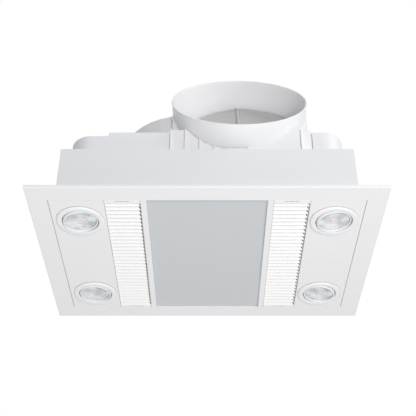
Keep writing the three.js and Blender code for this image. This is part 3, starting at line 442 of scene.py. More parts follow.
def grouped(name, group, tint, values, relief, depth, metallic=0.0):
    """A material whose colour, roughness and height come from a node group with the given values."""
    material, tree, shader, place, bump = blank_material(name, relief, depth)
    node = tree.nodes.new("ShaderNodeGroup")
    node.node_tree = group
    wire(tree, node, {"Vector": place, "Colour": (*tint, 1), **values})
    colour, roughness, height = node.outputs
    wire(tree, shader, {"Base Color": colour, "Roughness": roughness, "Metallic": metallic})
    wire(tree, bump, {"Height": height})
    return material


def moulded(name, tint, gloss, cloud, grain, relief, depth=0.0004):
    """A moulded plastic, coating or ceramic from the moulded_surface group."""
    values = {"Cloud": cloud, "Grain Scale": grain, "Gloss": gloss}
    return grouped(name, moulding_group(), tint, values, relief, depth)


def metal(name, tint, gloss, stretch, contrast, relief=0.05):
    """A bare or plated metal from the drawn_metal group."""
    values = {"Stretch": stretch, "Contrast": contrast, "Gloss": gloss}
    return grouped(name, streak_group(), tint, values, relief, 0.0003, 1.0)


def clear_glass(name, tint, gloss, grain, relief, clearness, shade, pattern=None):
    """A moulded glass or lens with a ripple and soft blotches; what isn't clear of it scatters the light.

    Where the piece has a colour attribute, pattern names it, and the blotches are multiplied by it; on the
    lens that attribute is painted light.
    """
    material, tree, shader, place, bump = blank_material(name, relief, 0.0002)
    wire(tree, bump, {"Height": noise(tree, place, grain)})
    tone = made_by(tree, "ValToRGB", {"Fac": noise(tree, place, 90.0)})
    low, high = tone.node.color_ramp.elements
    low.position = 0.38
    low.color = (*(part * shade for part in tint), 1)
    high.position = 0.56
    high.color = (*tint, 1)
    if pattern:
        drawn = made_by(tree, "Attribute", {})
        drawn.node.attribute_name = pattern
        tone = made_by(tree, "VectorMath", {0: tone, 1: drawn}, "MULTIPLY")
    values = {"Base Color": tone, "Roughness": gloss, "Transmission Weight": clearness, "IOR": 1.48}
    wire(tree, shader, values)
    return material


def build_materials(colours):
    """All finishes by name, each from its maker's values in the order that the maker takes them."""
    plans = {
        "satin_fascia": (moulded, colours.fascia, 0.42, 0.02, 1400, 0.03),
        "louvre_white": (moulded, colours.louvre, 0.4, 0.02, 1400, 0.02),
        "powder_coat": (moulded, colours.coated, 0.45, 0.03, 700, 0.12, 0.0003),
        "moulded_casing": (moulded, colours.casing, 0.5, 0.05, 500, 0.06),
        "duct_moulding": (moulded, colours.duct, 0.38, 0.03, 900, 0.03),
        "shutter_grey": (moulded, colours.shutter, 0.5, 0.08, 700, 0.05),
        "frosted_glass": (moulded, colours.glass, 0.42, 0.02, 2600, 0.08, 0.0002),
        "dark_moulding": (moulded, colours.dark, 0.55, 0.2, 600, 0.1),
        "tube_ceramic": (moulded, colours.ceramic, 0.8, 0.12, 1200, 0.25),
        "zinc_plate": (metal, colours.zinc, 0.3, (1, 0.2, 1), 0.2),
        "cast_alloy": (metal, colours.alloy, 0.48, (1, 1, 1), 0.18, 0.2),
        "reflector_sheet": (metal, colours.mirror, 0.12, (1, 0.04, 1), 0.06, 0.03),
        "motor_shell": (metal, colours.alloy, 0.36, (1, 1, 6), 0.12, 0.08),
        # The lens's colour attribute holds a painted highlight, a painted reflection of the cup and the
        # painted light of its source
        "clear_lens": (clear_glass, (1.0, 1.0, 1.0), 0.05, 160, 0.5, 0.2, 0.8, "shine"),
        "quartz_tube": (clear_glass, (0.95, 0.94, 0.92), 0.06, 400, 0.05, 1.0, 0.9),
        "lamp_cup": (metal, (0.9, 0.9, 0.9), 0.16, (1, 1, 1), 0.08, 0.1),
        "phosphor": (moulded, (0.9, 0.4, 0.25), 0.6, 0.25, 3000, 0.2),
    }
    return {name: make(name, *values) for name, (make, *values) in plans.items()}


# How the names of the CAD nodes with each finish start; all others are moulded casing
NODE_FINISHES = {
    "cast_alloy": ("lamp_body",),
    "dark_moulding": ("thermal_cutout", "impeller", "terminal_block", "cable_gland", "retainer_ring"),
    "frosted_glass": ("front_glass",),
    "quartz_tube": ("heat_tube",),
    "reflector_sheet": ("reflector",),
    "tube_ceramic": ("tube_holder",),
    "zinc_plate": ("glass_strip", "shutter_pin", "fan_shaft", "fascia_clip"),
}
# CAD node, name of the piece that stands for it, its finish and its kind of edge
COPIES = [
    ("fascia_frame", "fascia_moulding", "satin_fascia", "moulded"),
    ("lamp_panel_left", "lamp_panel_left_moulding", "satin_fascia", "sheet"),
    ("lamp_panel_right", "lamp_panel_right_moulding", "satin_fascia", "sheet"),
    ("front_glass", "front_glass_plate", "frosted_glass", "glass"),
    ("housing_box", "housing_folded_box", "powder_coat", "sheet"),
    ("upper_casing", "upper_casing_moulding", "moulded_casing", "moulded"),
    ("scroll_casing", "scroll_moulding", "moulded_casing", "moulded"),
    ("outlet_hood", "outlet_hood_moulding", "duct_moulding", "moulded"),
    ("terminal_box", "terminal_box_moulding", "moulded_casing", "moulded"),
    ("terminal_lid", "terminal_lid_moulding", "moulded_casing", "moulded"),
]


STORE = {}


def finish_named(name):
    """A finish by its name; all are built at the first call."""
    if not STORE:
        STORE.update(build_materials(bpy.context.scene.heater_colours))
    return STORE[name]


# Operators


class HEATER_OT_cad_finishes(bpy.types.Operator):
    """Gives every carried-over CAD node its material"""

    bl_idname = "heater.cad_finishes"
    bl_label = "Finish CAD nodes"

    def execute(self, context):
        for node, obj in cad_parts.items():
            found = [finish for finish, starts in NODE_FINISHES.items() if node.startswith(starts)]
            obj.data.materials.clear()
            obj.data.materials.append(finish_named(*found or ["moulded_casing"]))
        return {"FINISHED"}


class HEATER_OT_mouldings(bpy.types.Operator):
    """Makes the flat and boxed pieces with rounded edges: fascia, panels, glass, housing and casing"""

    bl_idname = "heater.mouldings"
    bl_label = "Build mouldings"

    def execute(self, context):
        edges = context.scene.heater_edges
        for node, name, finish, edge in COPIES:
            copy_of(node, name, finish, getattr(edges, edge))
        return {"FINISHED"}


class HEATER_OT_grilles(bpy.types.Operator):
    """Makes the two intake grilles: slanting slats, rails, end bars with clip slots and hooks"""

    bl_idname = "heater.grilles"
    bl_label = "Build grilles"

    def execute(self, context):
        s = context.scene.heater_grille
        edge = context.scene.heater_edges.slat
        for side in ("left", "right"):
            low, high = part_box(f"louvre_grille_{side}")
            parts = self.slats(s, edge, low.x, high.x)
            parts += self.rails(s, edge, low, high)
            for way in (-1, 1):
                parts += self.end(s, edge, low, high, way)
            built(f"louvre_{side}_moulding", parts, "louvre_white", nodes=[f"louvre_grille_{side}"])
        return {"FINISHED"}

    def slats(self, s, edge, x0, x1):
        """Slats, one slanting section per pitch.

        At height h over the face a slat's right end is at x1 - rail / 2 - relief h / drop.
        """
        slant = math.hypot(s.run, s.drop)
        back = np.array([s.drop, s.run]) * s.sheet / slant
        corners = np.array([(0, s.drop), (s.run, 0), (s.run, 0) + back, (0, s.drop) + back])
        section = rounded(corners, edge, 3)
        left = np.full(len(section), x0 + s.rail / 2)
        right = x1 - s.rail / 2 - s.relief * section[:, 1] / s.drop
        parts = []
        for i in range(s.slats):
            y = section[:, 0] + (i - s.slats / 2) * s.pitch
            z = section[:, 1] + s.face
            parts.append(capped([np.column_stack([x, y, z]) for x in (left, right)]))
        return parts

    def rails(self, s, edge, low, high):
        """Walls along Y: the left rail, a rib behind the slats' cut ends, and the recessed right rail."""
        end = high.y - GRIP
        half = s.rail / 2
        walls = [
            (low.x + half, s.rail, high.z - s.face),
            (high.x - half - s.relief - 1.5 * MM, s.drop - 0.4 * MM, s.drop + 3 * MM),
            (high.x - half, s.recess, high.z - s.face),
        ]
        parts = []
        for x, first, last in walls:
            section = rounded(rect(x - half, s.face + first, x + half, s.face + last), edge, 3)
            parts.append(placed(prism(section, [(-end, 1), (end, 1)]), quarter("X")))
        return parts

    def end(self, s, edge, low, high, way):
        """End bar round a clip slot, and the hook that grips the fascia's ledge behind it."""
        outer_end = high.y - GRIP
        inner_end = s.slats / 2 * s.pitch - s.pitch + s.run
        if way < 0:
            inner_end = s.slats / 2 * s.pitch - s.sheet
        middle_x = (low.x + high.x) / 2
        middle_y = (inner_end + outer_end) / 2
        half = np.array([(high.x - low.x) / 2, (outer_end - inner_end) / 2])
        slot = np.array([s.slot_length / 2, s.slot_width / 2])
        slot_margin = 3 * MM
        slot_y = outer_end - slot_margin - middle_y
        levels = [(half, 0, edge, 0), (half - edge, 0, 0, 0), (slot + edge, 1, 0, 0), (slot, 1, edge, 0),
                  (slot, 1, -edge, 1), (slot + edge, 1, 0, 1), (half - edge, 0, 0, 1), (half, 0, -edge, 1)]
        rings = []
        for size, on_slot, lift, top in levels:
            outline = rounded(rect(*-size, *size), 0.6 * MM, 3)
            x = outline[:, 0] + middle_x
            y = way * (outline[:, 1] + middle_y + on_slot * slot_y)
            rings.append(np.column_stack([x, y, np.full(len(outline), s.face + top * s.drop + lift)]))
        bar = (np.stack(rings), grid_faces(len(rings), len(rings[0]), True), [])
        sheet, half_hook = 1.4 * MM, 8 * MM
        seat = s.face + 2.3 * MM
        profile = rounded([
            (outer_end - sheet, s.face + sheet), (outer_end, s.face + sheet), (outer_end, seat),
            (outer_end + GRIP, seat), (outer_end, seat + sheet), (outer_end, high.z),
            (outer_end - sheet, high.z),
        ], 0.2 * MM, 3)
        hook = prism(profile * (way, 1), [(-half_hook, 1), (half_hook, 1)])
        return [bar, placed(hook, at(middle_x, 0, 0) @ quarter("Z") @ quarter("X"))]


class HEATER_OT_lamps(bpy.types.Operator):
    """Makes the four lamps: trim ring, gimbal ring, lens, reflector cup and light source"""

    bl_idname = "heater.lamps"
    bl_label = "Build lamps"

    def execute(self, context):
        sizes = context.scene.heater_lamps
        for corner, tilt in CORNERS.items():
            low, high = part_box(f"trim_ring_{corner}")
            middle = (low + high) / 2
            self.ring(sizes, corner, at(middle.x, middle.y, 0))
            lean = Matrix.Rotation(math.radians(tilt), 4, "Y")
            self.head(sizes, corner, at(middle.x, middle.y, sizes.pivot_height) @ lean)
        return {"FINISHED"}

    def ring(self, s, corner, place):
        """Trim ring: a flat face with a bevel over a thin shadow groove, and a collar through the panel."""
        bore, radius, face, seat = s.ring_bore, s.ring_radius, s.ring_face, s.ring_seat
        profile = rounded([
            (bore, face + 0.5 * MM), (bore + 0.9 * MM, face + 0.1 * MM),
            (radius - 3.2 * MM, face), (radius - 1.4 * MM, face + 0.35 * MM),
            (radius, seat - 1.3 * MM), (radius, seat - 0.6 * MM),
            (radius - 1.2 * MM, seat - 0.5 * MM), (radius - 1.2 * MM, seat),
            (bore + 1.4 * MM, seat), (bore + 1.4 * MM, s.ring_top), (bore, s.ring_top),
        ], np.array([0.3, 0.4, 1.2, 1.0, 0.5, 0.2, 0.1, 0.1, 0.2, 0.3, 0.3]) * MM)
        built(f"trim_{corner}", [turned(profile, LAMP_FACETS)], "satin_fascia", place,
              [f"trim_ring_{corner}"], "lamp_trim", f"lamp_turn_{corner}")

    def head(self, s, corner, place):
        """Gimbal: a ring cut from a ball, with a stepped inner edge; lens, cup and light source inside it."""
        body = f"lamp_{corner}"
        z = np.linspace(-3.2, 3.6, 12) * MM
        ball = np.column_stack([np.sqrt(s.gimbal_radius ** 2 - z ** 2), z])
        inner = np.array([(21.7, 3.6), (21.7, -3.2), (22.2, -4.3), (22.6, -4.6), (23.2, -4.6)]) * MM
        profile = rounded(np.concatenate([ball, inner]), 0.25 * MM, 3)
        stub = turned(rounded(rect(0, 0, 1.4 * MM, 3.8 * MM), 0.2 * MM), 24)
        stub = placed(stub, at(0, 22.7 * MM, 0) @ quarter("X", -1))
        parts = [turned(profile, LAMP_FACETS), stub, placed(stub, quarter("Z", 2))]
        built(f"gimbal_{corner}", parts, "satin_fascia", place, [f"gimbal_ring_{corner}"], "lamp_trim", body)

        r = np.linspace(0, 1, 40)
        dome = -2.6 + 1.1 * r ** 2 + 0.22 * np.cos(r * 6 * np.pi) * (1 - r ** 4)
        face = np.column_stack([r * s.lens_radius, dome * MM])
        back = np.column_stack([r[::-8] * s.lens_radius, np.full(len(r[::-8]), -0.4 * MM)])
        lens = turned(np.concatenate([face, back]), LAMP_FACETS)
        piece = built(f"lens_{corner}", [lens], "clear_lens", place,
                      [f"lamp_lens_{corner}"], "lens_glass", body, math.radians(60))
        # Painted highlight, painted reflection of the cup and painted light of the source on the lens, as a
        # colour attribute
        self.shine(piece.data, place.translation, s.lens_radius)
        self.cup(corner, place)

    def shine(self, mesh, middle, radius):
        """Painted light on the lens at (x, y) in shares of its radius, as a colour attribute.

        Four lobes 1 + 0.18 cos(4a + 0.6) r over a bluish grey, a painted reflection of the cup's pressed
        bowl;
        a painted white highlight exp(-d^2 / 0.2) about (-0.3, 0.45); and a painted warm light
        exp(-r^2 / 0.06) where the light source shows through.
        """
        spots = np.empty(3 * len(mesh.vertices))
        mesh.vertices.foreach_get("co", spots)
        x, y = (spots.reshape(-1, 3)[:, :2] - np.array(middle)[:2]).T / radius
        r, a = np.hypot(x, y), np.arctan2(y, x)
        # Painted reflection of the cup's four lobes over a bluish grey
        grey_with_painted_lobes = np.array([0.8, 0.83, 0.85]) * (1 + 0.18 * r * np.cos(4 * a + 0.6))[:, None]
        # Painted white highlight about (-0.3, 0.45)
        painted_highlight = np.exp(-((x + 0.3) ** 2 + (y - 0.45) ** 2) / 0.2)[:, None]
        # Painted warm light where the light source shows through
        painted_glow = 0.8 * np.exp(-r ** 2 / 0.06)[:, None]
        colour = grey_with_painted_lobes + painted_highlight * (1 - grey_with_painted_lobes)
        colour += painted_glow * (np.array([1.0, 0.8, 0.74]) - colour)
        layer = mesh.color_attributes.new("shine", "FLOAT_COLOR", "POINT")
        opaque = np.column_stack([np.clip(colour, 0, 1), np.ones(len(colour))])
        layer.data.foreach_set("color", opaque.ravel())

    def cup(self, corner, place):
        """Cup: a bowl r = a + b (1 - t)^0.5, pressed into lobes, with a light source in it."""
        body = f"lamp_{corner}"
        t = np.linspace(0, 1, 24)
        bowl = np.column_stack([(5.5 + 14.7 * np.sqrt(1 - t)) * MM, (0.4 + 3.4 * t) * MM])
        shell = np.array([(0, 3.8), (0, 31.5), (12.8, 31.5), (17.5, 16), (21.2, 3.0), (21.2, 0.4)]) * MM

        def facets(a):
            """Radius share 1 + 0.06 |cos 4a| of the pressed bowl."""
            return 1 + 0.06 * np.abs(np.cos(4 * a))

        part = turned(np.concatenate([bowl, shell]), 192, facets)
        built(f"lamp_housing_{corner}", [part], "lamp_cup", place,
              [f"lamp_body_{corner}"], "cast_alloy", body, math.radians(20))
        chip = np.array([(0, 0.3), (4.6, 0.6), (4.8, 3.7), (0, 3.7)]) * MM
        chip = turned(rounded(chip, np.array([0, 1, 0.25, 0]) * MM), 48)
        built(f"light_source_{corner}", [chip], "phosphor", place, body=body)


def duct_frame(s):
    """Duct frame: local X along X, local Y up in the collar's plane, local Z out of the mouth."""
    up, out = math.sin(s.rise), math.cos(s.rise)
    return Matrix((
        (1, 0, 0, s.middle[0]),
        (0, up, -out, s.middle[1]),
        (0, out, up, s.middle[2]),
        (0, 0, 0, 1),
    ))


class HEATER_OT_duct_collar(bpy.types.Operator):
    """Makes the tapered duct collar with its lip, its root flange and the sleeve behind it"""

    bl_idname = "heater.duct_collar"
    bl_label = "Build duct collar"

    def execute(self, context):
        s = context.scene.heater_duct
        root = -s.depth
        outside = s.sleeve + s.wall
        profile = rounded([
            (s.sleeve, -s.sleeve_end), (outside, -s.sleeve_end), (outside, root),
            (s.radius - 1 * MM, root), (s.radius - 0.8 * MM, -2 * MM), (s.radius, -1.7 * MM),
            (s.radius, 0), (s.radius - s.wall, 0), (s.sleeve, root),
        ], np.array([0.5, 0.5, 0.5, 0.6, 0.4, 0.4, 0.8, 0.8, 4]) * MM)
        flange = rect(s.sleeve + 1.5 * MM, root - 2.2 * MM, s.radius, root - 0.2 * MM)
        parts = [turned(profile, DUCT_FACETS), turned(rounded(flange, 0.3 * MM), DUCT_FACETS)]
        stop = rounded(rect(-7 * MM, s.sleeve - 6 * MM, 7 * MM, s.sleeve + 1 * MM), 0.8 * MM)
        chamfer = 0.4 * MM
        for side, sweep in ((1, s.sweep_left), (-1, s.sweep_right)):
            depth = s.pin_depth + s.leaf_radius * math.sin(sweep) + 0.9 * MM
            levels = [(-s.sleeve_end, 0.96), (-s.sleeve_end + chamfer, 1.0),
                      (-depth - chamfer, 1.0), (-depth, 0.96)]
            parts.append(placed(prism(stop, levels), quarter("Z", side)))
        built("duct_collar_moulding", parts, "duct_moulding", duct_frame(s),
              ["duct_collar"], "casing_plastic")
        return {"FINISHED"}


class HEATER_OT_hood_webs(bpy.types.Operator):
    """Makes the upright webs that join the outlet hood to the collar"""

    bl_idname = "heater.hood_webs"
    bl_label = "Build hood webs"

    def execute(self, context):
        s = context.scene.heater_duct
        # Two ends in X, front in Y and thickness
        plates = [
            (-0.0505, -0.0315, -0.1165, 14 * MM),
            (0.056, 0.1303, -0.1409, 4.5 * MM),
            (0.1265, 0.1455, -0.1165, 14 * MM),
        ]
        built("hood_webs", [self.web(s, *plate) for plate in plates], "moulded_casing")
        return {"FINISHED"}

    def web(self, s, x0, x1, front, sheet):
        """A plate from x0 to x1 whose top ends inside the collar's wall, of radius R about (cx, 0).

        Its top follows (x - cx)^2 + v^2 = R^2, where v is measured up the plane of the collar's mouth.
        """
        reach = s.radius - 1.6 * MM
        floor = 81.1 * MM
        up, out = math.sin(s.rise), math.cos(s.rise)
        x = np.linspace(x0, x1, 24)
        v = -np.sqrt(reach ** 2 - (x - s.middle[0]) ** 2)
        rings = []
        for y in (front, front + sheet):
            top = s.middle[2] + (v - up * (y - s.middle[1])) / out
            z = np.concatenate([np.maximum(top, floor + 1 * MM), np.full(len(x), floor)])
            rings.append(np.column_stack([np.concatenate([x, x[::-1]]), np.full(len(z), y), z]))
        return capped(rings)


class HEATER_OT_shutter(bpy.types.Operator):
    """Makes the two leaves of the back-draught shutter, with knuckles, ribs behind their plates and a boss"""

    bl_idname = "heater.shutter"
    bl_label = "Build shutter"

    def execute(self, context):
        s = context.scene.heater_duct
        for side, name, sweep in ((-1, "left", s.sweep_left), (1, "right", s.sweep_right)):
            lean = Matrix.Rotation(side * sweep, 4, "Y")
            place = duct_frame(s) @ at(0, 0, -s.pin_depth) @ lean
            built(f"shutter_{name}_moulding", self.leaf(s, side), "shutter_grey", place,
                  [f"shutter_leaf_{name}"], "shutter_plastic", f"shutter_{name}")
        return {"FINISHED"}

    def leaf(self, s, side):
        """Half a disc x = R cos a, y = R sin a beside the pin, ribs behind it and knuckles round the pin."""
        reach = math.acos((s.knuckle + 0.1 * MM) / s.leaf_radius)
        a = np.linspace(-reach, reach, 120)
        outline = s.leaf_radius * np.column_stack([side * np.cos(a), np.sin(a)])
        half = 0.4 * MM
        parts = [prism(outline, [(-half, 0.998), (-half / 2, 1.0), (half / 2, 1.0), (half, 0.998)])]
        if side < 0:
            boss = np.array([(0, 0), (4.2, 0), (3.7, 1.3), (0, 1.6)]) * MM
            boss = turned(rounded(boss, np.array([0, 0.2, 0.6, 0]) * MM), 40)
            parts.append(placed(boss, at(-7.4 * MM, s.leaf_radius - 9 * MM, half - 0.1 * MM)))
        margin = 5 * MM
        rib_height = 2.4 * MM
        for share in (-0.5, 0.5):
            y = share * s.leaf_radius
            long = math.sqrt(s.leaf_radius ** 2 - y ** 2) - margin
            rib = rect(side * margin, y - half, side * long, y + half)
            parts.append(prism(rounded(rib, 0.3 * MM), [(-rib_height, 0.97), (0, 1.0)]))
        pin_end = s.leaf_radius - 4 * MM
        span = 2 * pin_end / 4
        gap, bore = 0.5 * MM, 2.2 * MM
        for i in range(0 if side > 0 else 1, 4, 2):
            y0 = -pin_end + i * span + gap / 2
            y1 = y0 + span - gap
            tube = turned(rounded(rect(bore, 0, s.knuckle, y1 - y0), 0.2 * MM), 32)
            parts.append(placed(tube, at(0, y1, 0) @ quarter("X")))
            web = rect(side * 2.4 * MM, y0, side * 3.3 * MM, y1)
            parts.append(prism(web, [(-half, 1.0), (half * 0.9, 1.0)]))
        return parts


class HEATER_OT_motor(bpy.types.Operator):
    """Makes the fan motor's shell with its flange, cooling slots and bearing boss, and its screws"""

    bl_idname = "heater.motor"
    bl_label = "Build motor"

    def execute(self, context):
        s = context.scene.heater_fan
        place = at(s.middle_x, s.middle_y, s.seat)
        profile = rounded([
            (0, -22.3 * MM), (12 * MM, -22.3 * MM), (19 * MM, -0.3 * MM), (19 * MM, 0),
            (s.flange, 0), (s.flange, 2 * MM), (s.radius, 2 * MM), (s.radius, s.rise - 3 * MM),
            (s.radius - 3 * MM, s.rise - 0.8 * MM), (9 * MM, s.rise - 0.8 * MM),
            (8 * MM, s.rise), (0, s.rise),
        ], np.array([0, 1, 0, 0, 0.5, 0.5, 1.2, 2, 2, 0.6, 0.6, 0]) * MM)
        points, quads, caps = turned(self.dense(profile), 288)
        shell = self.slotted(points, s), quads, caps
        built("motor_shell_turned", [shell], "motor_shell", place, ["motor"], "motor_shell")
        self.screws(s, place)
        return {"FINISHED"}

    def dense(self, profile):
        """The profile with points added so that no two neighbours lie over 0.6 mm apart."""
        closed = np.concatenate([profile, profile[:1]])
        steps = np.linalg.norm(np.diff(closed, axis=0), axis=1)
        run = np.concatenate([[0], np.cumsum(steps)])
        wanted = np.unique(np.concatenate([run[:-1], np.arange(0, run[-1], 0.6 * MM)]))
        return np.column_stack([np.interp(wanted, run, values) for values in closed.T])

    def slotted(self, points, s):
        """Cooling slots: the radius drops by their depth where a mask of angle and height is 1."""
        count, depth, half_width, half_height = 8, 2.2 * MM, 1.9 * MM, 5 * MM
        x, y, z = points[..., 0], points[..., 1], points[..., 2]
        r = np.hypot(x, y)
        a = np.arctan2(y, x)
        around = np.abs((a * count / (2 * np.pi) + 0.5) % 1 - 0.5) * 2 * np.pi / count * s.radius
        up = np.abs(z - 9 * MM)
        mask = np.clip((half_width - around) / (0.5 * MM), 0, 1)
        mask = mask * np.clip((half_height - up) / (0.6 * MM), 0, 1)
        mask = mask * (r > s.radius - 0.2 * MM)
        share = np.where(r > 0, 1 - depth * mask / np.maximum(r, 1e-9), 1)
        return np.stack([x * share, y * share, z], axis=-1)

    def screws(self, s, place):
        """Three pan head screws in the flange, 120 degrees apart at the bolt circle's radius."""
        circle = 31 * MM
        parts = []
        for i in range(3):
            a = math.radians(30 + 120 * i)
            spot = at(circle * math.cos(a), circle * math.sin(a), 2 * MM)
            parts.append(placed(screw_head(2.6 * MM, 1.5 * MM), place @ spot))
        built("motor_screws", parts, "zinc_plate")


def screw_head(radius, height):
    """A pan head: height h (1 - (r / R)^4)^0.5, sunk by a cross where |x| or |y| is small."""
    sunk = -0.3 * MM
    r = np.concatenate([np.linspace(0, 1, 14), [1.0]])
    z = height * (1 - r ** 4) ** 0.5
    z[-1] = sunk
    profile = np.concatenate([np.column_stack([r * radius, z]), [(0, sunk)]])
    points, quads, caps = turned(profile, 48)
    x, y = np.abs(points[..., 0]), np.abs(points[..., 1])
    cross = (np.minimum(x, y) < 0.14 * radius) & (np.maximum(x, y) < 0.55 * radius)
    cross &= points[..., 2] > 0.3 * height
    points[..., 2] = np.where(cross, 0.35 * height, points[..., 2])
    return points, quads, caps


class HEATER_OT_wiring(bpy.types.Operator):
    """Makes the cable gland, the capacitor and the screws of the terminal box"""

    bl_idname = "heater.wiring"
    bl_label = "Build wiring parts"

    def execute(self, context):
        self.gland()
        self.capacitor()
        self.screws()
        return {"FINISHED"}

    def gland(self):
        """Gland: a six-sided nut, a thread of radius R + A cos(2 pi h / pitch), and a domed cap."""
        low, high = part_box("cable_gland")
        x, z = (low.x + high.x) / 2, (low.z + high.z) / 2
        long = high.y - low.y
        pitch = 1.2 * MM
        h = np.linspace(8.2 * MM, long - 4.5 * MM, 60)
        thread = np.column_stack([6.7 * MM + 0.28 * MM * np.cos(h / pitch * 2 * np.pi), h])
        start = np.array([(4.5, 0), (6.9, 0), (6.9, 4.2)]) * MM
        end = np.array([(7, -4.2), (7, -1.6), (6.2, -0.3), (5.2, 0), (4.5, -0.3)]) * MM + (0, long)
        core = turned(np.concatenate([start, thread, end]), 64)
        a = np.arange(6) * np.pi / 3
        nut_radius = 8.7 * MM
        nut = rounded(nut_radius * np.column_stack([np.cos(a), np.sin(a)]), 0.8 * MM)
        hexagon = prism(nut, [(4.4 * MM, 0.95), (4.9 * MM, 1), (7.9 * MM, 1), (8.4 * MM, 0.95)])
        place = at(x, low.y, z) @ quarter("X", -1)
        built("gland_turned", [core, hexagon], "dark_moulding", place, ["cable_gland"], "dark_plastic")

    def capacitor(self):
        """Capacitor: a can with rolled ends lying along X, held by a strap over a foot."""
        low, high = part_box("motor_capacitor")
        radius = (high.y - low.y) / 2
        y, z = (low.y + high.y) / 2, high.z - radius
        long = high.x - low.x
        can = rounded([
            (0, 1 * MM), (radius - 3 * MM, 1 * MM), (radius - 2.4 * MM, 0), (radius - 0.8 * MM, 0),
            (radius - 0.3 * MM, 1.6 * MM), (radius - 0.5 * MM, long - 2 * MM),
            (radius - 1.6 * MM, long), (0, long),
        ], np.array([0, 0.5, 0.5, 0.5, 0.8, 1.2, 1.2, 0]) * MM)
        built("capacitor_can", [turned(can, 96)], "moulded_casing", at(low.x, y, z) @ quarter("Y"),
              ["motor_capacitor"], "casing_plastic")
        a = np.linspace(-0.15 * np.pi, 1.15 * np.pi, 60)
        sheet, half_strap, half_foot = 0.9 * MM, 4 * MM, 8 * MM
        outer = radius * np.column_stack([np.cos(a), np.sin(a)])
        inner = outer[::-1] * (1 - sheet / radius)
        strap = prism(np.concatenate([outer, inner]), [(-half_strap, 1), (half_strap, 1)])
        foot = rounded(rect(-half_foot, low.z - z, half_foot, -radius * 0.55), 0.8 * MM)
        foot = prism(foot, [(-half_foot, 1), (half_foot, 1)])
        swing = at((low.x + high.x) / 2, y, z) @ quarter("Z") @ quarter("X")
        built("capacitor_strap", [strap, foot], "zinc_plate", swing)

    def screws(self):
        """Two screws in the terminal box's lid."""
        low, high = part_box("terminal_lid")
        x = (low.x + high.x) / 2
        head = screw_head(2.2 * MM, 1.2 * MM)
        parts = [placed(head, at(x, y, high.z - 0.9 * MM))
                 for y in (low.y + 5 * MM, high.y - 5 * MM)]
        built("lid_screws", parts, "zinc_plate")


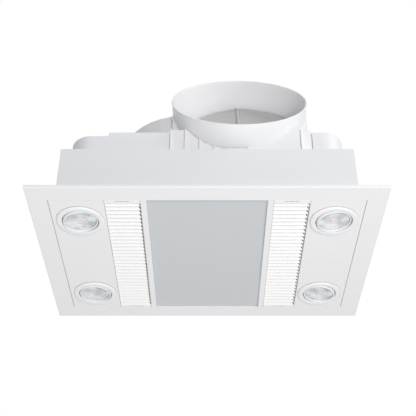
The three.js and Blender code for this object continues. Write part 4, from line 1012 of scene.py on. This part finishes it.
class HEATER_OT_stage(bpy.types.Operator):
    """Makes the floor, the soft lights, the pale world and the camera at the photograph's angle"""

    bl_idname = "heater.stage"
    bl_label = "Build stage"

    def execute(self, context):
        s = context.scene.heater_stage
        self.floor(s)
        self.world(context.scene, s)
        self.light("key_light", (0.5, -1.58, -0.7), s.key_level, 0.35)
        self.light("low_light", (0.1, -0.2, -1.6), s.low_level, 1.6)
        self.light("high_light", (1.5, -0.9, 0.95), s.high_level, 0.7)
        self.camera(context.scene, s)
        context.scene.view_settings.view_transform = "Standard"
        return {"FINISHED"}

    def floor(self, s):
        """One square face, pale and slightly uneven."""
        half = s.floor_size / 2
        mesh = bpy.data.meshes.new("floor")
        corners = [(x, y, s.floor_height) for x, y in rect(-half, -half, half, half)]
        mesh.from_pydata(corners, [], [(0, 1, 2, 3)])
        mesh.materials.append(moulded("floor_paint", (0.86, 0.86, 0.86), 0.7, 0.02, 40, 0.02))
        linked("floor", mesh)

    def world(self, scene, s):
        """White where the camera, a reflection or a clear glass sees it, and an even light for the rest."""
        world = bpy.data.worlds.new("pale_room")
        scene.world = world
        world.use_nodes = True
        tree = world.node_tree
        tree.nodes.clear()
        rays = tree.nodes.new("ShaderNodeLightPath").outputs
        clear = rays["Is Camera Ray"]
        for kind in ("Is Glossy Ray", "Is Transmission Ray"):
            clear = made_by(tree, "Math", {0: clear, 1: rays[kind]}, "MAXIMUM")
        even = made_by(tree, "Background", {"Color": (0.97, 0.98, 1, 1), "Strength": s.world_level})
        white = made_by(tree, "Background", {"Color": (1, 1, 1, 1)})
        mix = made_by(tree, "MixShader", {"Fac": clear, 1: even, 2: white})
        wire(tree, tree.nodes.new("ShaderNodeOutputWorld"), {"Surface": mix})

    def light(self, name, place, level, size):
        """A square soft light at a place, turned to face the middle of the heater."""
        data = bpy.data.lights.new(name, "AREA")
        data.energy = level
        data.size = size
        lamp = linked(name, data)
        middle = Vector((0, 0, 0.06))
        lamp.location = place
        lamp.rotation_euler = (middle - lamp.location).to_track_quat("-Z", "Y").to_euler()

    def camera(self, scene, s):
        """The camera at the photograph's place."""
        data = bpy.data.cameras.new("photo_camera")
        data.sensor_width = 36
        data.lens = s.camera_lens
        camera = linked("photo_camera", data)
        camera.location = s.camera_place
        camera.rotation_euler = (math.pi / 2 + s.camera_pitch, 0, 0)
        scene.camera = camera


class HEATER_PT_panel(bpy.types.Panel):
    """Lists the heater's sizes, colours and building steps"""

    bl_idname = "HEATER_PT_panel"
    bl_label = "Ceiling heater"
    bl_space_type = "VIEW_3D"
    bl_region_type = "UI"
    bl_category = "Heater"

    def draw(self, context):
        layout = self.layout
        for step in STEPS:
            layout.operator(step.bl_idname)
        for label, _ in GROUPS:
            group = getattr(context.scene, label)
            box = layout.box()
            box.label(text=group.bl_rna.description)
            for prop in group.bl_rna.properties:
                if not prop.is_readonly and prop.identifier != "name":
                    box.prop(group, prop.identifier)


GROUPS = [
    ("heater_lamps", HeaterLampSizes),
    ("heater_grille", HeaterGrilleSizes),
    ("heater_duct", HeaterDuctSizes),
    ("heater_fan", HeaterFanSizes),
    ("heater_edges", HeaterEdges),
    ("heater_colours", HeaterColours),
    ("heater_stage", HeaterStage),
]
STEPS = [
    HEATER_OT_cad_finishes,
    HEATER_OT_mouldings,
    HEATER_OT_grilles,
    HEATER_OT_lamps,
    HEATER_OT_duct_collar,
    HEATER_OT_hood_webs,
    HEATER_OT_shutter,
    HEATER_OT_motor,
    HEATER_OT_wiring,
    HEATER_OT_stage,
]


def register():
    """Registers the groups of sizes, the operators and the panel."""
    for label, group in GROUPS:
        bpy.utils.register_class(group)
        setattr(bpy.types.Scene, label, bpy.props.PointerProperty(type=group))
    for step in STEPS:
        bpy.utils.register_class(step)
    bpy.utils.register_class(HEATER_PT_panel)


def unregister():
    """Takes out what register put in, in the opposite order."""
    bpy.utils.unregister_class(HEATER_PT_panel)
    for step in reversed(STEPS):
        bpy.utils.unregister_class(step)
    for label, group in reversed(GROUPS):
        delattr(bpy.types.Scene, label)
        bpy.utils.unregister_class(group)


def main():
    """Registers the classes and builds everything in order."""
    register()
    for step in STEPS:
        area, action = step.bl_idname.split(".")
        result = getattr(getattr(bpy.ops, area), action)()
        if result != {"FINISHED"}:
            raise RuntimeError(f"{step.bl_label} did not finish")


if __name__ == "__main__":
    main()
